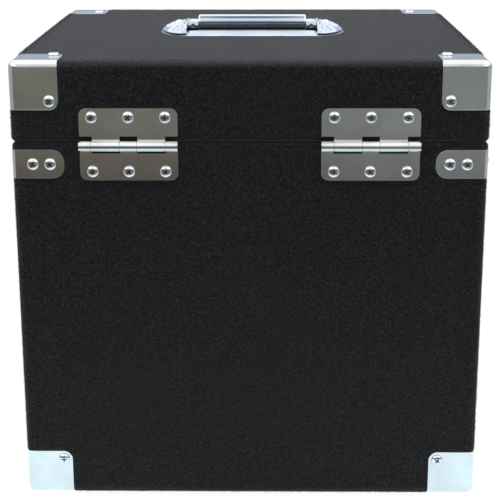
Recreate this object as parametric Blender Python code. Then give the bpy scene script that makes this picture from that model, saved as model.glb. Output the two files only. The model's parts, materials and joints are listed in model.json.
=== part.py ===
"""Record carrying case: a carpet-covered plywood box with a hinged lid, metal corners and a folding handle.

Metres, +Z up. The latches face -Y and the hinges +Y. The case stands on its rubber feet at Z = 0, and the
origin is under the middle of the whole object. "Proud" is measured outwards from the carpet's face, "inset"
inwards from it. Left and right are as seen by someone who faces the latches.
"""

import math

import bmesh
import bpy
from mathutils import Matrix, Vector

# Driving sizes of the case, over the carpet
CASE_WIDTH = 0.362
CASE_DEPTH = 0.353
CASE_HEIGHT = 0.353
LID_HEIGHT = 0.0617
PLY = 0.009
CARPET = 0.0025
CASE_EDGE_RADIUS = 0.0045

# Gaps that every piece keeps to its neighbours, and the overrun of every cut
GAP = 0.0003
BORE_GAP = 0.0004
SEAM_GAP = 0.0005
OVERRUN = 0.004
LEAST_RADIUS = 0.0004

# Carpet turned over the rim
RIM_OUTER_ROLL = 0.003
RIM_INNER_ROLL = 0.0015
RIM_TURN_IN = 0.014

# Liners and feet
FLOOR_PAD_THICKNESS = 0.003
LID_PAD_THICKNESS = 0.008
PAD_SIDE_GAP = 0.0008
PAD_POCKET_GAP = 0.0012
FOOT_HEIGHT = 0.005
FOOT_TOP_RADIUS = 0.012
FOOT_BOTTOM_RADIUS = 0.0105
FOOT_EDGE_CHAMFER = 0.0008
FOOT_INSET = 0.058
FOOT_HOLE_RADIUS = 0.0045
FOOT_HOLE_DEPTH = 0.0025

# Corner caps and corner brackets
TRIM_THICKNESS = 0.0012
TRIM_SINK = 0.0012
CAP_LEG = 0.037
CAP_EDGE_RADIUS = 0.0048
CAP_FREE_RADIUS = 0.0068
CAP_SCREW_INSET = 0.0068
BRACKET_LEG = 0.0398
BRACKET_HEIGHT = 0.0222
BRACKET_BELOW_SEAM = 0.0057
BRACKET_BEND_RADIUS = 0.0042
BRACKET_END_RADIUS = 0.0095
BRACKET_OUTER_SCREW = 0.0158
BRACKET_INNER_SCREW = 0.029

# Pan-head screws
SCREW_HEAD_RADIUS = 0.0045
SCREW_HEAD_HEIGHT = 0.0023
SMALL_HEAD_RADIUS = 0.0034
SMALL_HEAD_HEIGHT = 0.0018
HEAD_SINK = 0.0004
HEAD_PROFILE_SHARES = ((1.0, 0.3), (0.84, 0.72), (0.48, 1.0))

# Butt hinges
HINGE_PLATE = 0.0015
HINGE_WIDTH = 0.075
HINGE_LID_LEAF = 0.0286
HINGE_BODY_LEAF = 0.0270
HINGE_FROM_BRACKET = 0.0121
HINGE_BELOW_SEAM = 0.0021
HINGE_BARREL_RADIUS = 0.0041
HINGE_PIN_RADIUS = 0.0021
HINGE_LEAF_CORNER = 0.0055
HINGE_LID_NOTCH = 0.0070
HINGE_BODY_NOTCH = 0.0060
HINGE_SCREW_INSET = 0.0070
HINGE_SCREW_SPACING = 0.0278
HINGE_KNUCKLE_SHARES = (0.127, 0.286, 0.174, 0.286, 0.127)

# Draw latches: base plate, ears and pivot
LATCH_FROM_BRACKET = 0.0277
LATCH_PLATE = 0.0015
LATCH_PLATE_WIDTH = 0.040
LATCH_PLATE_BELOW_SEAM = 0.0065
LATCH_PLATE_HEIGHT = 0.0465
LATCH_PLATE_CORNER = 0.004
LATCH_SCREW_INSET = 0.0046
LATCH_PIVOT_BELOW_SEAM = 0.014
LATCH_PIVOT_PROUD = 0.0074
LATCH_PIN_RADIUS = 0.0013
LATCH_EAR_INNER = 0.0060
LATCH_EAR_THICKNESS = 0.0015
LATCH_EAR_RADIUS = 0.0031

# Draw latches: lever and loop
LATCH_SIDE_GAP = 0.0005
LEVER_SHEET = 0.0013
LEVER_FLANGE_RADIUS = 0.0033
LEVER_WEB_REACH = 0.0036
LEVER_WEB_START = 0.0010
LEVER_LENGTH = 0.034
LEVER_TIP_LENGTH = 0.0055
LEVER_TIP_REACH = 0.0018
LEVER_FLANGE_STRAIGHT = 0.018
TOGGLE_RADIUS = 0.0060
TOGGLE_OVER_CENTRE = math.radians(8)
LOOP_WIRE_RADIUS = 0.0014
LOOP_EYE_RADIUS = 0.0031
LOOP_BEND_RADIUS = 0.0028
LOOP_BAR_PROUD = 0.0050
LOOP_BAR_ABOVE_SEAM = 0.014

# Draw latches: keeper on the lid
KEEPER_PLATE_WIDTH = 0.034
KEEPER_PLATE_ABOVE_SEAM = 0.005
KEEPER_PLATE_HEIGHT = 0.027
KEEPER_SHEET = 0.0014
KEEPER_BAR_TRAVEL = 0.0017
KEEPER_LIP_RISE = 0.0015
KEEPER_SCREW_ABOVE_BAR = 0.0130
KEEPER_SCREW_SPACING = 0.022

# Handle: plate, end castings and their bolts
HANDLE_LENGTH = 0.158
HANDLE_DEPTH = 0.067
HANDLE_TIP_LENGTH = 0.019
HANDLE_TIP_POWER = 1.6
HANDLE_PLATE = 0.0012
CASTING_LENGTH = 0.0227
CASTING_INSET = 0.0008
CASTING_RIM = 0.0010
CASTING_HEIGHT = 0.0070
CASTING_DOME_POWER = 2.4
CASTING_FLUTE_SHARE = 0.22
CASTING_FLUTES = 9
CASTING_BOSS_RADIUS = 0.0034
CASTING_BOSS_LENGTH = 0.008
BOLT_FROM_TIP = 0.0155
BOLT_HEAD_RADIUS = 0.0038
BOLT_HEAD_HEIGHT = 0.0030
BOLT_RADIUS = 0.0020
BOLT_SEAT_ABOVE_PLATE = 0.0050
BOLT_END_REACH = 0.0010
NUT_RADIUS = 0.0046
NUT_THICKNESS = 0.0035

# Handle: arms and grip
HANDLE_PIVOT_BEHIND = 0.023
HANDLE_PIVOT_ABOVE_PLATE = 0.0037
HANDLE_PIN_RADIUS = 0.0017
HANDLE_PIN_DEPTH = 0.006
ARM_WIDTH = 0.0086
ARM_HUB_RADIUS = 0.0032
ARM_NOSE_RADIUS = 0.0035
ARM_NOSE_AHEAD = 0.0045
ARM_NOSE_ABOVE_PLATE = 0.0044
GRIP_RADIUS = 0.0066
GRIP_CHAMFER = 0.0010
GRIP_AHEAD = 0.002
GRIP_SPIGOT_RADIUS = 0.0020
GRIP_SPIGOT_LENGTH = 0.006
GRIP_SPIGOT_ABOVE_PLATE = 0.0047

# How finely round shapes are made
ROLL_STEPS = 3
CORNER_STEPS = 3
HEAD_SIDES = 8
BARREL_SIDES = 20
BORE_SIDES = 12
PIN_SIDES = 12
GRIP_SIDES = 24
FOOT_SIDES = 20
NUT_SIDES = 6
WIRE_SIDES = 8
WIRE_BEND_STEPS = 4
FAN_STEPS = 36
FAN_RINGS = 3
SHARP_ANGLE = math.radians(35)

# Places that follow from the sizes
TRIM_BACK = GAP - TRIM_SINK
TRIM_FACE = TRIM_BACK + TRIM_THICKNESS
HINGE_AXIS_PROUD = GAP + HINGE_BARREL_RADIUS
HINGE_PROUD = HINGE_AXIS_PROUD + HINGE_BARREL_RADIUS
LEVER_WEB_OUTER = LATCH_PIVOT_PROUD + LEVER_WEB_REACH + LEVER_SHEET
LATCH_PROUD = LEVER_WEB_OUTER + LEVER_TIP_REACH
FRONT_Y = LATCH_PROUD - (CASE_DEPTH + LATCH_PROUD + HINGE_PROUD) / 2
BACK_Y = FRONT_Y + CASE_DEPTH
MIDDLE_Y = (FRONT_Y + BACK_Y) / 2
SIDE_X = CASE_WIDTH / 2
BOTTOM_Z = FOOT_HEIGHT + GAP
TOP_Z = BOTTOM_Z + CASE_HEIGHT
SEAM_Z = TOP_Z - LID_HEIGHT
BODY_RIM_Z = SEAM_Z - SEAM_GAP / 2
LID_RIM_Z = SEAM_Z + SEAM_GAP / 2
PLY_OUTER = CARPET + GAP
PLY_INNER = PLY_OUTER + PLY
TURN_IN_OUTER = PLY_INNER + GAP
TURN_IN_INNER = TURN_IN_OUTER + CARPET
FLOOR_TOP_Z = BOTTOM_Z + PLY_INNER
CEILING_Z = TOP_Z - PLY_INNER
BRACKET_Z = SEAM_Z - BRACKET_BELOW_SEAM - BRACKET_HEIGHT
HINGE_X = SIDE_X - BRACKET_LEG - HINGE_FROM_BRACKET - HINGE_WIDTH / 2
HINGE_Y = BACK_Y + HINGE_AXIS_PROUD
HINGE_Z = SEAM_Z - HINGE_BELOW_SEAM
LATCH_X = SIDE_X - BRACKET_LEG - LATCH_FROM_BRACKET - LATCH_PLATE_WIDTH / 2
LEVER_INNER_X = LATCH_EAR_INNER + LATCH_EAR_THICKNESS + LATCH_SIDE_GAP
LEVER_HALF_WIDTH = LEVER_INNER_X + LEVER_SHEET
LOOP_LEG_X = LEVER_HALF_WIDTH + LATCH_SIDE_GAP + LOOP_WIRE_RADIUS
LOOP_OUTER_X = LOOP_LEG_X + LOOP_WIRE_RADIUS
LEVER_PIVOT = (LATCH_PIVOT_PROUD, -LATCH_PIVOT_BELOW_SEAM)
TOGGLE_IN = TOGGLE_RADIUS * math.sin(TOGGLE_OVER_CENTRE)
TOGGLE_DOWN = TOGGLE_RADIUS * math.cos(TOGGLE_OVER_CENTRE)
LOOP_PIVOT = (LATCH_PIVOT_PROUD - TOGGLE_IN, -LATCH_PIVOT_BELOW_SEAM - TOGGLE_DOWN)
LOOP_BAR = (LOOP_BAR_PROUD, LOOP_BAR_ABOVE_SEAM)
KEEPER_HALF_WIDTH = LOOP_LEG_X - LOOP_BEND_RADIUS - GAP
PLATE_TOP_Z = TOP_Z + GAP + HANDLE_PLATE
CASTING_Z = PLATE_TOP_Z + GAP
BOLT_SEAT_Z = PLATE_TOP_Z + BOLT_SEAT_ABOVE_PLATE
NUT_TOP_Z = CEILING_Z - GAP
BOLT_END_Z = NUT_TOP_Z - NUT_THICKNESS - BOLT_END_REACH
HANDLE_AXIS_Y = MIDDLE_Y - HANDLE_PIVOT_BEHIND
HANDLE_AXIS_Z = PLATE_TOP_Z + HANDLE_PIVOT_ABOVE_PLATE
GRIP_Y = MIDDLE_Y + GRIP_AHEAD
GRIP_Z = PLATE_TOP_Z + GAP + GRIP_RADIUS
HANDLE_STRAIGHT = HANDLE_LENGTH - 2 * HANDLE_TIP_LENGTH
CASTING_START = HANDLE_LENGTH / 2 - CASTING_INSET - CASTING_LENGTH
BOLT_X = HANDLE_LENGTH / 2 - BOLT_FROM_TIP
ARM_OUTER_X = CASTING_START - GAP
ARM_INNER_X = ARM_OUTER_X - ARM_WIDTH
GRIP_HALF_LENGTH = ARM_INNER_X - GAP

LEFT_AND_RIGHT = (("left", -1), ("right", 1))
FRONT_AND_BACK = (("front", -1), ("back", 1))
X_AXIS = Vector((1, 0, 0))
Y_AXIS = Vector((0, 1, 0))
Z_AXIS = Vector((0, 0, 1))

# Where the edges of a box lie, as shares of its three sides
NEAR_EDGE_SHARES = ((0.5, 0, 0), (0, 0.5, 0), (0, 0, 0.5))
FAR_EDGE_SHARES = ((0.5, 1, 1), (1, 0.5, 1), (1, 1, 0.5))
BEND_EDGE_SHARES = ((0, 0, 0.5),)
END_EDGE_SHARES = ((0.5, 1, 0), (0.5, 1, 1), (1, 0.5, 0), (1, 0.5, 1))

# Finishes: colour, roughness, metallic
FINISHES = {
    "black_carpet": ((0.012, 0.012, 0.013), 0.95, 0.0),
    "birch_plywood": ((0.36, 0.24, 0.13), 0.6, 0.0),
    "grey_foam": ((0.03, 0.03, 0.032), 0.95, 0.0),
    "black_rubber": ((0.015, 0.015, 0.015), 0.8, 0.0),
    "nickel_plate": ((0.62, 0.61, 0.58), 0.22, 1.0),
    "polished_chrome": ((0.75, 0.76, 0.78), 0.06, 1.0),
    "zinc_steel": ((0.55, 0.56, 0.57), 0.4, 1.0),
}


def clear_scene():
    """Remove every object that the scene starts with."""
    for thing in list(bpy.data.objects):
        bpy.data.objects.remove(thing, do_unlink=True)


def finish(name):
    """Return the material of a finish, made on its first use."""
    if name in bpy.data.materials:
        return bpy.data.materials[name]
    colour, roughness, metallic = FINISHES[name]
    made = bpy.data.materials.new(name)
    made.use_nodes = True
    shader = made.node_tree.nodes["Principled BSDF"]
    shader.inputs["Base Color"].default_value = (*colour, 1)
    shader.inputs["Roughness"].default_value = roughness
    shader.inputs["Metallic"].default_value = metallic
    made.diffuse_color = (*colour, 1)
    return made


def to_object(bm):
    """Turn a bmesh into a new object in the scene."""
    bmesh.ops.recalc_face_normals(bm, faces=bm.faces)
    mesh = bpy.data.meshes.new("solid")
    bm.to_mesh(mesh)
    bm.free()
    made = bpy.data.objects.new("solid", mesh)
    bpy.context.scene.collection.objects.link(made)
    return made


def combine(target, tool, operation):
    """Apply a Boolean of tool to target, and remove tool."""
    modifier = target.modifiers.new(operation, "BOOLEAN")
    modifier.operation = operation
    modifier.solver = "EXACT"
    modifier.object = tool
    graph = bpy.context.evaluated_depsgraph_get()
    mesh = bpy.data.meshes.new_from_object(target.evaluated_get(graph))
    target.modifiers.clear()
    target.data = mesh
    bpy.data.objects.remove(tool, do_unlink=True)


def cut(target, *tools):
    """Take each tool out of target, and return it."""
    for tool in tools:
        combine(target, tool, "DIFFERENCE")
    return target


def join(target, *tools):
    """Unite each tool with target, and return it."""
    for tool in tools:
        combine(target, tool, "UNION")
    return target


def placed(made, matrix):
    """Move a solid's mesh by a matrix, which may mirror it."""
    made.data.transform(matrix)
    if matrix.determinant() < 0:
        made.data.flip_normals()
    return made


def complete(made, name, finish_name, pivot=None):
    """Name a finished piece, give it its material and shading, and hang it on its pivot."""
    made.name = name
    made.data.name = name
    made.data.materials.clear()
    made.data.materials.append(finish(finish_name))
    made.data.shade_smooth()
    made.data.set_sharp_from_angle(angle=SHARP_ANGLE)
    if pivot is not None:
        made.parent = pivot
        made.matrix_parent_inverse = pivot.matrix_world.inverted()


def add_pivot(name, place, parent=None):
    """Add an empty on a joint's axis."""
    pivot = bpy.data.objects.new(name, None)
    pivot.empty_display_size = HINGE_BARREL_RADIUS
    pivot.location = place
    bpy.context.scene.collection.objects.link(pivot)
    if parent is not None:
        pivot.parent = parent
        pivot.matrix_parent_inverse = parent.matrix_world.inverted()
    bpy.context.view_layer.update()
    return pivot


def axes_to(origin, first, second, third):
    """Return the matrix that takes local X, Y and Z to three directions at a place."""
    matrix = Matrix((first, second, third)).transposed().to_4x4()
    matrix.translation = origin
    return matrix


def bridge_rings(bm, rings):
    """Skin a row of rings with as many points each, and cap the first and the last."""
    count = len(rings[0])
    for one, other in zip(rings, rings[1:]):
        for n in range(count):
            after = (n + 1) % count
            bm.faces.new((one[n], one[after], other[after], other[n]))
    bm.faces.new(rings[0])
    bm.faces.new(rings[-1])


def extruded(outline, matrix, low, high):
    """Return an outline of (u, v) points, extruded along local Z from low to high."""
    bm = bmesh.new()
    bridge_rings(bm, [[bm.verts.new((u, v, w)) for u, v in outline] for w in (low, high)])
    bmesh.ops.transform(bm, verts=bm.verts, matrix=matrix)
    return to_object(bm)


def turned(profile, sides, matrix):
    """Return a solid turned about local Z from (radius, height) points, bottom to top."""
    bm = bmesh.new()
    rings = []
    for radius, height in profile:
        angles = [math.tau * (n + 0.5) / sides for n in range(sides)]
        rings.append([bm.verts.new((radius * math.cos(a), radius * math.sin(a), height)) for a in angles])
    bridge_rings(bm, rings)
    bmesh.ops.transform(bm, verts=bm.verts, matrix=matrix)
    return to_object(bm)


def rod(start, end, radius, sides=PIN_SIDES, chamfer=0.0):
    """Return a round rod between two points, with chamfered ends if asked."""
    start, end = Vector(start), Vector(end)
    length = (end - start).length
    profile = [(radius, 0.0), (radius, length)]
    if chamfer:
        profile = [(radius, chamfer), (radius, length - chamfer)]
        profile = [(radius - chamfer, 0.0), *profile, (radius - chamfer, length)]
    turn = Z_AXIS.rotation_difference(end - start).to_matrix().to_4x4()
    return turned(profile, sides, Matrix.Translation(start) @ turn)


def crosswise_rod(low_x, high_x, y, z, radius, sides=PIN_SIDES, chamfer=0.0):
    """Return a rod along X."""
    return rod((low_x, y, z), (high_x, y, z), radius, sides, chamfer)


def box(low, high, rounds=()):
    """Return a box between two corners; rounds holds (edge shares, radius) for edges to round."""
    low, high = Vector(low), Vector(high)
    size = high - low
    bm = bmesh.new()
    bmesh.ops.create_cube(bm, size=1)
    bmesh.ops.transform(bm, verts=bm.verts, matrix=Matrix.Diagonal((*size, 1)))
    bmesh.ops.translate(bm, verts=bm.verts, vec=(low + high) / 2)
    for edge_shares, radius in rounds:
        places = [low + Vector(share) * size for share in edge_shares]
        edges = [nearest_edge(bm, place) for place in places]
        bmesh.ops.bevel(bm, geom=edges, offset=radius, segments=CORNER_STEPS, profile=0.5, affect="EDGES")
    return to_object(bm)


def nearest_edge(bm, place):
    """Return the edge whose middle is nearest to a place."""
    return min(bm.edges, key=lambda edge: ((edge.verts[0].co + edge.verts[1].co) / 2 - place).length)


def arc(centre, radius, start, end, steps=CORNER_STEPS):
    """Return points on an arc, both ends included; the angles are in quarter turns."""
    points = []
    for n in range(steps + 1):
        angle = (start + (end - start) * n / steps) * math.pi / 2
        points.append((centre[0] + radius * math.cos(angle), centre[1] + radius * math.sin(angle)))
    return points


def rounded_rectangle(half_u, half_v, radius):
    """Return the outline of a rectangle with round corners, anticlockwise."""
    points = []
    for n, (su, sv) in enumerate(((1, 1), (-1, 1), (-1, -1), (1, -1))):
        points += arc((su * (half_u - radius), sv * (half_v - radius)), radius, n, n + 1)
    return points


def screw_head(place, outwards, radius=SCREW_HEAD_RADIUS, height=SCREW_HEAD_HEIGHT):
    """Return a screw's domed head, which sits a little into the plate at place."""
    profile = [(radius, -HEAD_SINK)]
    profile += [(radius * wide, height * high) for wide, high in HEAD_PROFILE_SHARES]
    turn = Z_AXIS.rotation_difference(Vector(outwards)).to_matrix().to_4x4()
    return turned(profile, HEAD_SIDES, Matrix.Translation(place) @ turn)


def lofted_tray(levels):
    """Return a solid skinned through rounded rectangles of the case's plan, given as (inset, height)."""
    bm = bmesh.new()
    rings = []
    for inset, height in levels:
        radius = max(CASE_EDGE_RADIUS - inset, LEAST_RADIUS)
        outline = rounded_rectangle(SIDE_X - inset, CASE_DEPTH / 2 - inset, radius)
        rings.append([bm.verts.new((u, MIDDLE_Y + v, height)) for u, v in outline])
    bridge_rings(bm, rings)
    return to_object(bm)


def carpet_shell(flat_z, rim_z, up):
    """Return the carpet of one half: over the flat face, up the walls, over the rim and down inside.

    flat_z is the height of the flat outer face, and up is 1 for the body and -1 for the lid.
    """
    edge = CASE_EDGE_RADIUS
    corner = [(u, flat_z + up * v) for u, v in arc((edge, edge), edge, -1, -2, ROLL_STEPS)]
    outer = RIM_OUTER_ROLL
    outer_roll = [(u, rim_z - up * (outer - v)) for u, v in arc((outer, 0), outer, 2, 1, ROLL_STEPS)]
    inner = RIM_INNER_ROLL
    inner_centre = (TURN_IN_INNER - inner, 0)
    inner_roll = [(u, rim_z - up * (inner - v)) for u, v in arc(inner_centre, inner, 1, 0, ROLL_STEPS)]
    hidden = [
        (TURN_IN_INNER, rim_z - up * RIM_TURN_IN),
        (TURN_IN_OUTER, rim_z - up * RIM_TURN_IN),
        (TURN_IN_OUTER, rim_z - up * CARPET),
        (CARPET, rim_z - up * CARPET),
        (CARPET, flat_z + up * CARPET),
    ]
    return lofted_tray(corner + outer_roll + inner_roll + hidden)


def end_panel(side, low_z, high_z):
    """Return the full-width plywood panel at the front or back, its outer corners rounded."""
    radius = CASE_EDGE_RADIUS - PLY_OUTER
    half = SIDE_X - PLY_OUTER
    outline = [(-half, 0), (half, 0)]
    outline += arc((half - radius, PLY - radius), radius, 0, 1)
    outline += arc((radius - half, PLY - radius), radius, 1, 2)
    inner_y = MIDDLE_Y + side * (CASE_DEPTH / 2 - PLY_INNER)
    matrix = axes_to((0, inner_y, 0), X_AXIS, side * Y_AXIS, Z_AXIS)
    return extruded(outline, matrix, low_z, high_z)


def side_panel(side, low_z, high_z):
    """Return the plywood panel at one side, which fits between the front and back panels."""
    xs = sorted((side * (SIDE_X - PLY_OUTER), side * (SIDE_X - PLY_INNER)))
    half_depth = CASE_DEPTH / 2 - PLY_INNER - GAP
    return box((xs[0], MIDDLE_Y - half_depth, low_z), (xs[1], MIDDLE_Y + half_depth, high_z))


def inner_slab(gap, low_z, high_z):
    """Return a slab that fits inside the four walls with a gap around it."""
    half_width = SIDE_X - PLY_INNER - gap
    half_depth = CASE_DEPTH / 2 - PLY_INNER - gap
    return box((-half_width, MIDDLE_Y - half_depth, low_z), (half_width, MIDDLE_Y + half_depth, high_z))


def bolt_hole(side, low_z, high_z, radius=BOLT_RADIUS + BORE_GAP):
    """Return a cutter for one handle bolt."""
    x = side * BOLT_X
    return rod((x, MIDDLE_Y, low_z - OVERRUN), (x, MIDDLE_Y, high_z + OVERRUN), radius, BORE_SIDES)


def build_body_box():
    """Build the lower box: four walls, the floor, the carpet and the floor pad."""
    low_z = BOTTOM_Z + PLY_OUTER
    high_z = BODY_RIM_Z - PLY_OUTER
    for name, side in FRONT_AND_BACK:
        complete(end_panel(side, low_z, high_z), f"body_{name}_panel", "birch_plywood")
    for name, side in LEFT_AND_RIGHT:
        complete(side_panel(side, low_z, high_z), f"body_{name}_panel", "birch_plywood")
    complete(inner_slab(GAP, low_z, FLOOR_TOP_Z), "body_floor_panel", "birch_plywood")
    carpet = carpet_shell(BOTTOM_Z, BODY_RIM_Z, 1)
    for _, matrix in corner_matrices(BOTTOM_Z):
        cut(carpet, placed(cap_pocket(), matrix))
    for _, matrix in corner_matrices(BRACKET_Z):
        cut(carpet, placed(bracket_pocket(), matrix))
    complete(carpet, "body_carpet", "black_carpet")
    pad_z = FLOOR_TOP_Z + GAP
    complete(inner_slab(PAD_SIDE_GAP, pad_z, pad_z + FLOOR_PAD_THICKNESS), "floor_pad", "grey_foam")


def build_lid_box(pivot):
    """Build the lid: four rails, the top panel, the carpet and the lid pad."""
    low_z = LID_RIM_Z + PLY_OUTER
    high_z = TOP_Z - PLY_OUTER
    for name, side in FRONT_AND_BACK:
        complete(end_panel(side, low_z, high_z), f"lid_{name}_rail", "birch_plywood", pivot)
    for name, side in LEFT_AND_RIGHT:
        complete(side_panel(side, low_z, high_z), f"lid_{name}_rail", "birch_plywood", pivot)
    top = inner_slab(GAP, CEILING_Z, high_z)
    carpet = carpet_shell(TOP_Z, LID_RIM_Z, -1)
    for _, matrix in corner_matrices(TOP_Z, -1):
        cut(carpet, placed(cap_pocket(), matrix))
    pad = inner_slab(PAD_SIDE_GAP, CEILING_Z - GAP - LID_PAD_THICKNESS, CEILING_Z - GAP)
    pocket_z = BOLT_END_Z - PAD_POCKET_GAP + OVERRUN
    for _, side in LEFT_AND_RIGHT:
        cut(top, bolt_hole(side, CEILING_Z, high_z))
        cut(carpet, bolt_hole(side, TOP_Z - CARPET, TOP_Z))
        cut(pad, bolt_hole(side, pocket_z, CEILING_Z, NUT_RADIUS + PAD_POCKET_GAP))
    complete(top, "lid_top_panel", "birch_plywood", pivot)
    complete(carpet, "lid_carpet", "black_carpet", pivot)
    complete(pad, "lid_pad", "grey_foam", pivot)


def build_feet():
    """Build the four rubber feet, each with a recess for its screw."""
    for end_name, end in FRONT_AND_BACK:
        for side_name, side in LEFT_AND_RIGHT:
            x = side * (SIDE_X - FOOT_INSET)
            y = MIDDLE_Y + end * (CASE_DEPTH / 2 - FOOT_INSET)
            profile = [
                (FOOT_BOTTOM_RADIUS - FOOT_EDGE_CHAMFER, 0),
                (FOOT_BOTTOM_RADIUS, FOOT_EDGE_CHAMFER),
                (FOOT_TOP_RADIUS, FOOT_HEIGHT),
            ]
            foot = turned(profile, FOOT_SIDES, Matrix.Translation((x, y, 0)))
            cut(foot, rod((x, y, -OVERRUN), (x, y, FOOT_HOLE_DEPTH), FOOT_HOLE_RADIUS, BORE_SIDES))
            complete(foot, f"{end_name}_{side_name}_foot", "black_rubber")


def corner_matrices(z, up=1):
    """Return (name, matrix) for each upright edge; the matrix takes the origin there and +X, +Y inwards."""
    found = []
    for end_name, end in FRONT_AND_BACK:
        for side_name, side in LEFT_AND_RIGHT:
            corner = (side * SIDE_X, MIDDLE_Y + end * CASE_DEPTH / 2, z)
            matrix = Matrix.Translation(corner) @ Matrix.Diagonal((-side, -end, up, 1))
            found.append((f"{end_name}_{side_name}", matrix))
    return found


def cap_shell(outer, inner, leg, edge_radius, free_radius):
    """Return three walls that meet at a corner, from outer to inner on each axis."""
    rounds = ((NEAR_EDGE_SHARES, edge_radius), (FAR_EDGE_SHARES, free_radius))
    shell = box((outer, outer, outer), (leg, leg, leg), rounds)
    inner_high = leg + OVERRUN
    inner_rounds = ((NEAR_EDGE_SHARES, edge_radius - inner + outer),)
    return cut(shell, box((inner, inner, inner), (inner_high, inner_high, inner_high), inner_rounds))


def cap_pocket():
    """Return a cutter for the place where a corner cap presses the carpet down."""
    edge_radius = CASE_EDGE_RADIUS + OVERRUN
    return cap_shell(-OVERRUN, TRIM_SINK, CAP_LEG + GAP, edge_radius, CAP_FREE_RADIUS + GAP)


def corner_cap():
    """Return a corner cap with its three screws, the case's corner at the origin, legs along +X, +Y, +Z."""
    cap = cap_shell(-TRIM_FACE, -TRIM_BACK, CAP_LEG, CAP_EDGE_RADIUS, CAP_FREE_RADIUS)
    for axis in (X_AXIS, Y_AXIS, Z_AXIS):
        place = (Vector((1, 1, 1)) - axis) * (CAP_LEG - CAP_SCREW_INSET) - axis * TRIM_FACE
        join(cap, screw_head(place, -axis))
    return cap


def build_corner_caps(level, corner_z, up, pivot=None):
    """Build the four corner caps of one level; up is 1 where they wrap a bottom edge, -1 a top edge."""
    for corner_name, matrix in corner_matrices(corner_z, up):
        complete(placed(corner_cap(), matrix), f"{level}_{corner_name}_cap", "nickel_plate", pivot)


def bracket_shell(outer, inner, leg, low_z, high_z, bend_radius, end_radius):
    """Return two walls folded round an upright edge, from outer to inner on X and Y."""
    rounds = ((BEND_EDGE_SHARES, bend_radius), (END_EDGE_SHARES, end_radius))
    shell = box((outer, outer, low_z), (leg, leg, high_z), rounds)
    inner_high = leg + OVERRUN
    inner_rounds = ((BEND_EDGE_SHARES, bend_radius - inner + outer),)
    inner_low = (inner, inner, low_z - OVERRUN)
    return cut(shell, box(inner_low, (inner_high, inner_high, high_z + OVERRUN), inner_rounds))


def bracket_pocket():
    """Return a cutter for the place where a corner bracket presses the carpet down."""
    bend_radius = CASE_EDGE_RADIUS + OVERRUN
    end_radius = BRACKET_END_RADIUS + GAP
    high_z = BRACKET_HEIGHT + GAP
    return bracket_shell(-OVERRUN, TRIM_SINK, BRACKET_LEG + GAP, -GAP, high_z, bend_radius, end_radius)


def corner_bracket():
    """Return a bracket folded round an upright edge, with its four screws, the edge at the origin."""
    bracket = bracket_shell(
        -TRIM_FACE, -TRIM_BACK, BRACKET_LEG, 0, BRACKET_HEIGHT, BRACKET_BEND_RADIUS, BRACKET_END_RADIUS)
    middle_z = BRACKET_HEIGHT / 2
    for inset in (BRACKET_OUTER_SCREW, BRACKET_INNER_SCREW):
        join(bracket, screw_head((inset, -TRIM_FACE, middle_z), -Y_AXIS))
        join(bracket, screw_head((-TRIM_FACE, inset, middle_z), -X_AXIS))
    return bracket


def build_corner_brackets():
    """Build the four brackets on the body's upright edges, just under the seam."""
    for corner_name, matrix in corner_matrices(BRACKET_Z):
        complete(placed(corner_bracket(), matrix), f"{corner_name}_bracket", "nickel_plate")


def knuckle_spans():
    """Return the (low, high) of the five knuckles along the hinge, each with half a gap at its inner ends."""
    spans = []
    low = -HINGE_WIDTH / 2
    for share in HINGE_KNUCKLE_SHARES:
        high = low + HINGE_WIDTH * share
        spans.append((low + GAP / 2, high - GAP / 2))
        low = high
    return spans


def leaf_outline(length, notch, spans):
    """Return a leaf seen square on, from the pin's line at v = 0 to its free edge, a finger per knuckle."""
    half = HINGE_WIDTH / 2 - GAP / 2
    radius = HINGE_LEAF_CORNER
    points = arc((half - radius, length - radius), radius, 0, 1)
    points += arc((radius - half, length - radius), radius, 1, 2)
    points.append((-half, notch))
    for low, high in spans:
        points += [(low, notch), (low, 0), (high, 0), (high, notch)]
    points.append((half, notch))
    return [point for n, point in enumerate(points) if (Vector(point) - Vector(points[n - 1])).length > 0]


def hinge_leaf(x, up, length, notch, spans):
    """Return one leaf with its knuckles, bore and three screws."""
    matrix = axes_to((x, BACK_Y, HINGE_Z), X_AXIS, up * Z_AXIS, Y_AXIS)
    leaf = extruded(leaf_outline(length, notch, spans), matrix, GAP, GAP + HINGE_PLATE)
    for low, high in spans:
        join(leaf, crosswise_rod(x + low, x + high, HINGE_Y, HINGE_Z, HINGE_BARREL_RADIUS, BARREL_SIDES))
    reach = HINGE_WIDTH / 2 + OVERRUN
    bore_radius = HINGE_PIN_RADIUS + BORE_GAP
    cut(leaf, crosswise_rod(x - reach, x + reach, HINGE_Y, HINGE_Z, bore_radius, BORE_SIDES))
    for step in (-1, 0, 1):
        place = (step * HINGE_SCREW_SPACING, length - HINGE_SCREW_INSET, GAP + HINGE_PLATE)
        join(leaf, screw_head(matrix @ Vector(place), Y_AXIS))
    return leaf


def build_hinges(lid_pivot):
    """Build both hinges: a leaf on the body, a leaf on the lid and the pin that stays in the body's leaf."""
    spans = knuckle_spans()
    reach = HINGE_WIDTH / 2 - GAP / 2
    for name, side in LEFT_AND_RIGHT:
        x = side * HINGE_X
        body_leaf = hinge_leaf(x, -1, HINGE_BODY_LEAF, HINGE_BODY_NOTCH, spans[0::2])
        complete(body_leaf, f"{name}_hinge_body_leaf", "nickel_plate")
        lid_leaf = hinge_leaf(x, 1, HINGE_LID_LEAF, HINGE_LID_NOTCH, spans[1::2])
        complete(lid_leaf, f"{name}_hinge_lid_leaf", "nickel_plate", lid_pivot)
        pin = crosswise_rod(x - reach, x + reach, HINGE_Y, HINGE_Z, HINGE_PIN_RADIUS)
        complete(pin, f"{name}_hinge_pin", "zinc_steel")


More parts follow.
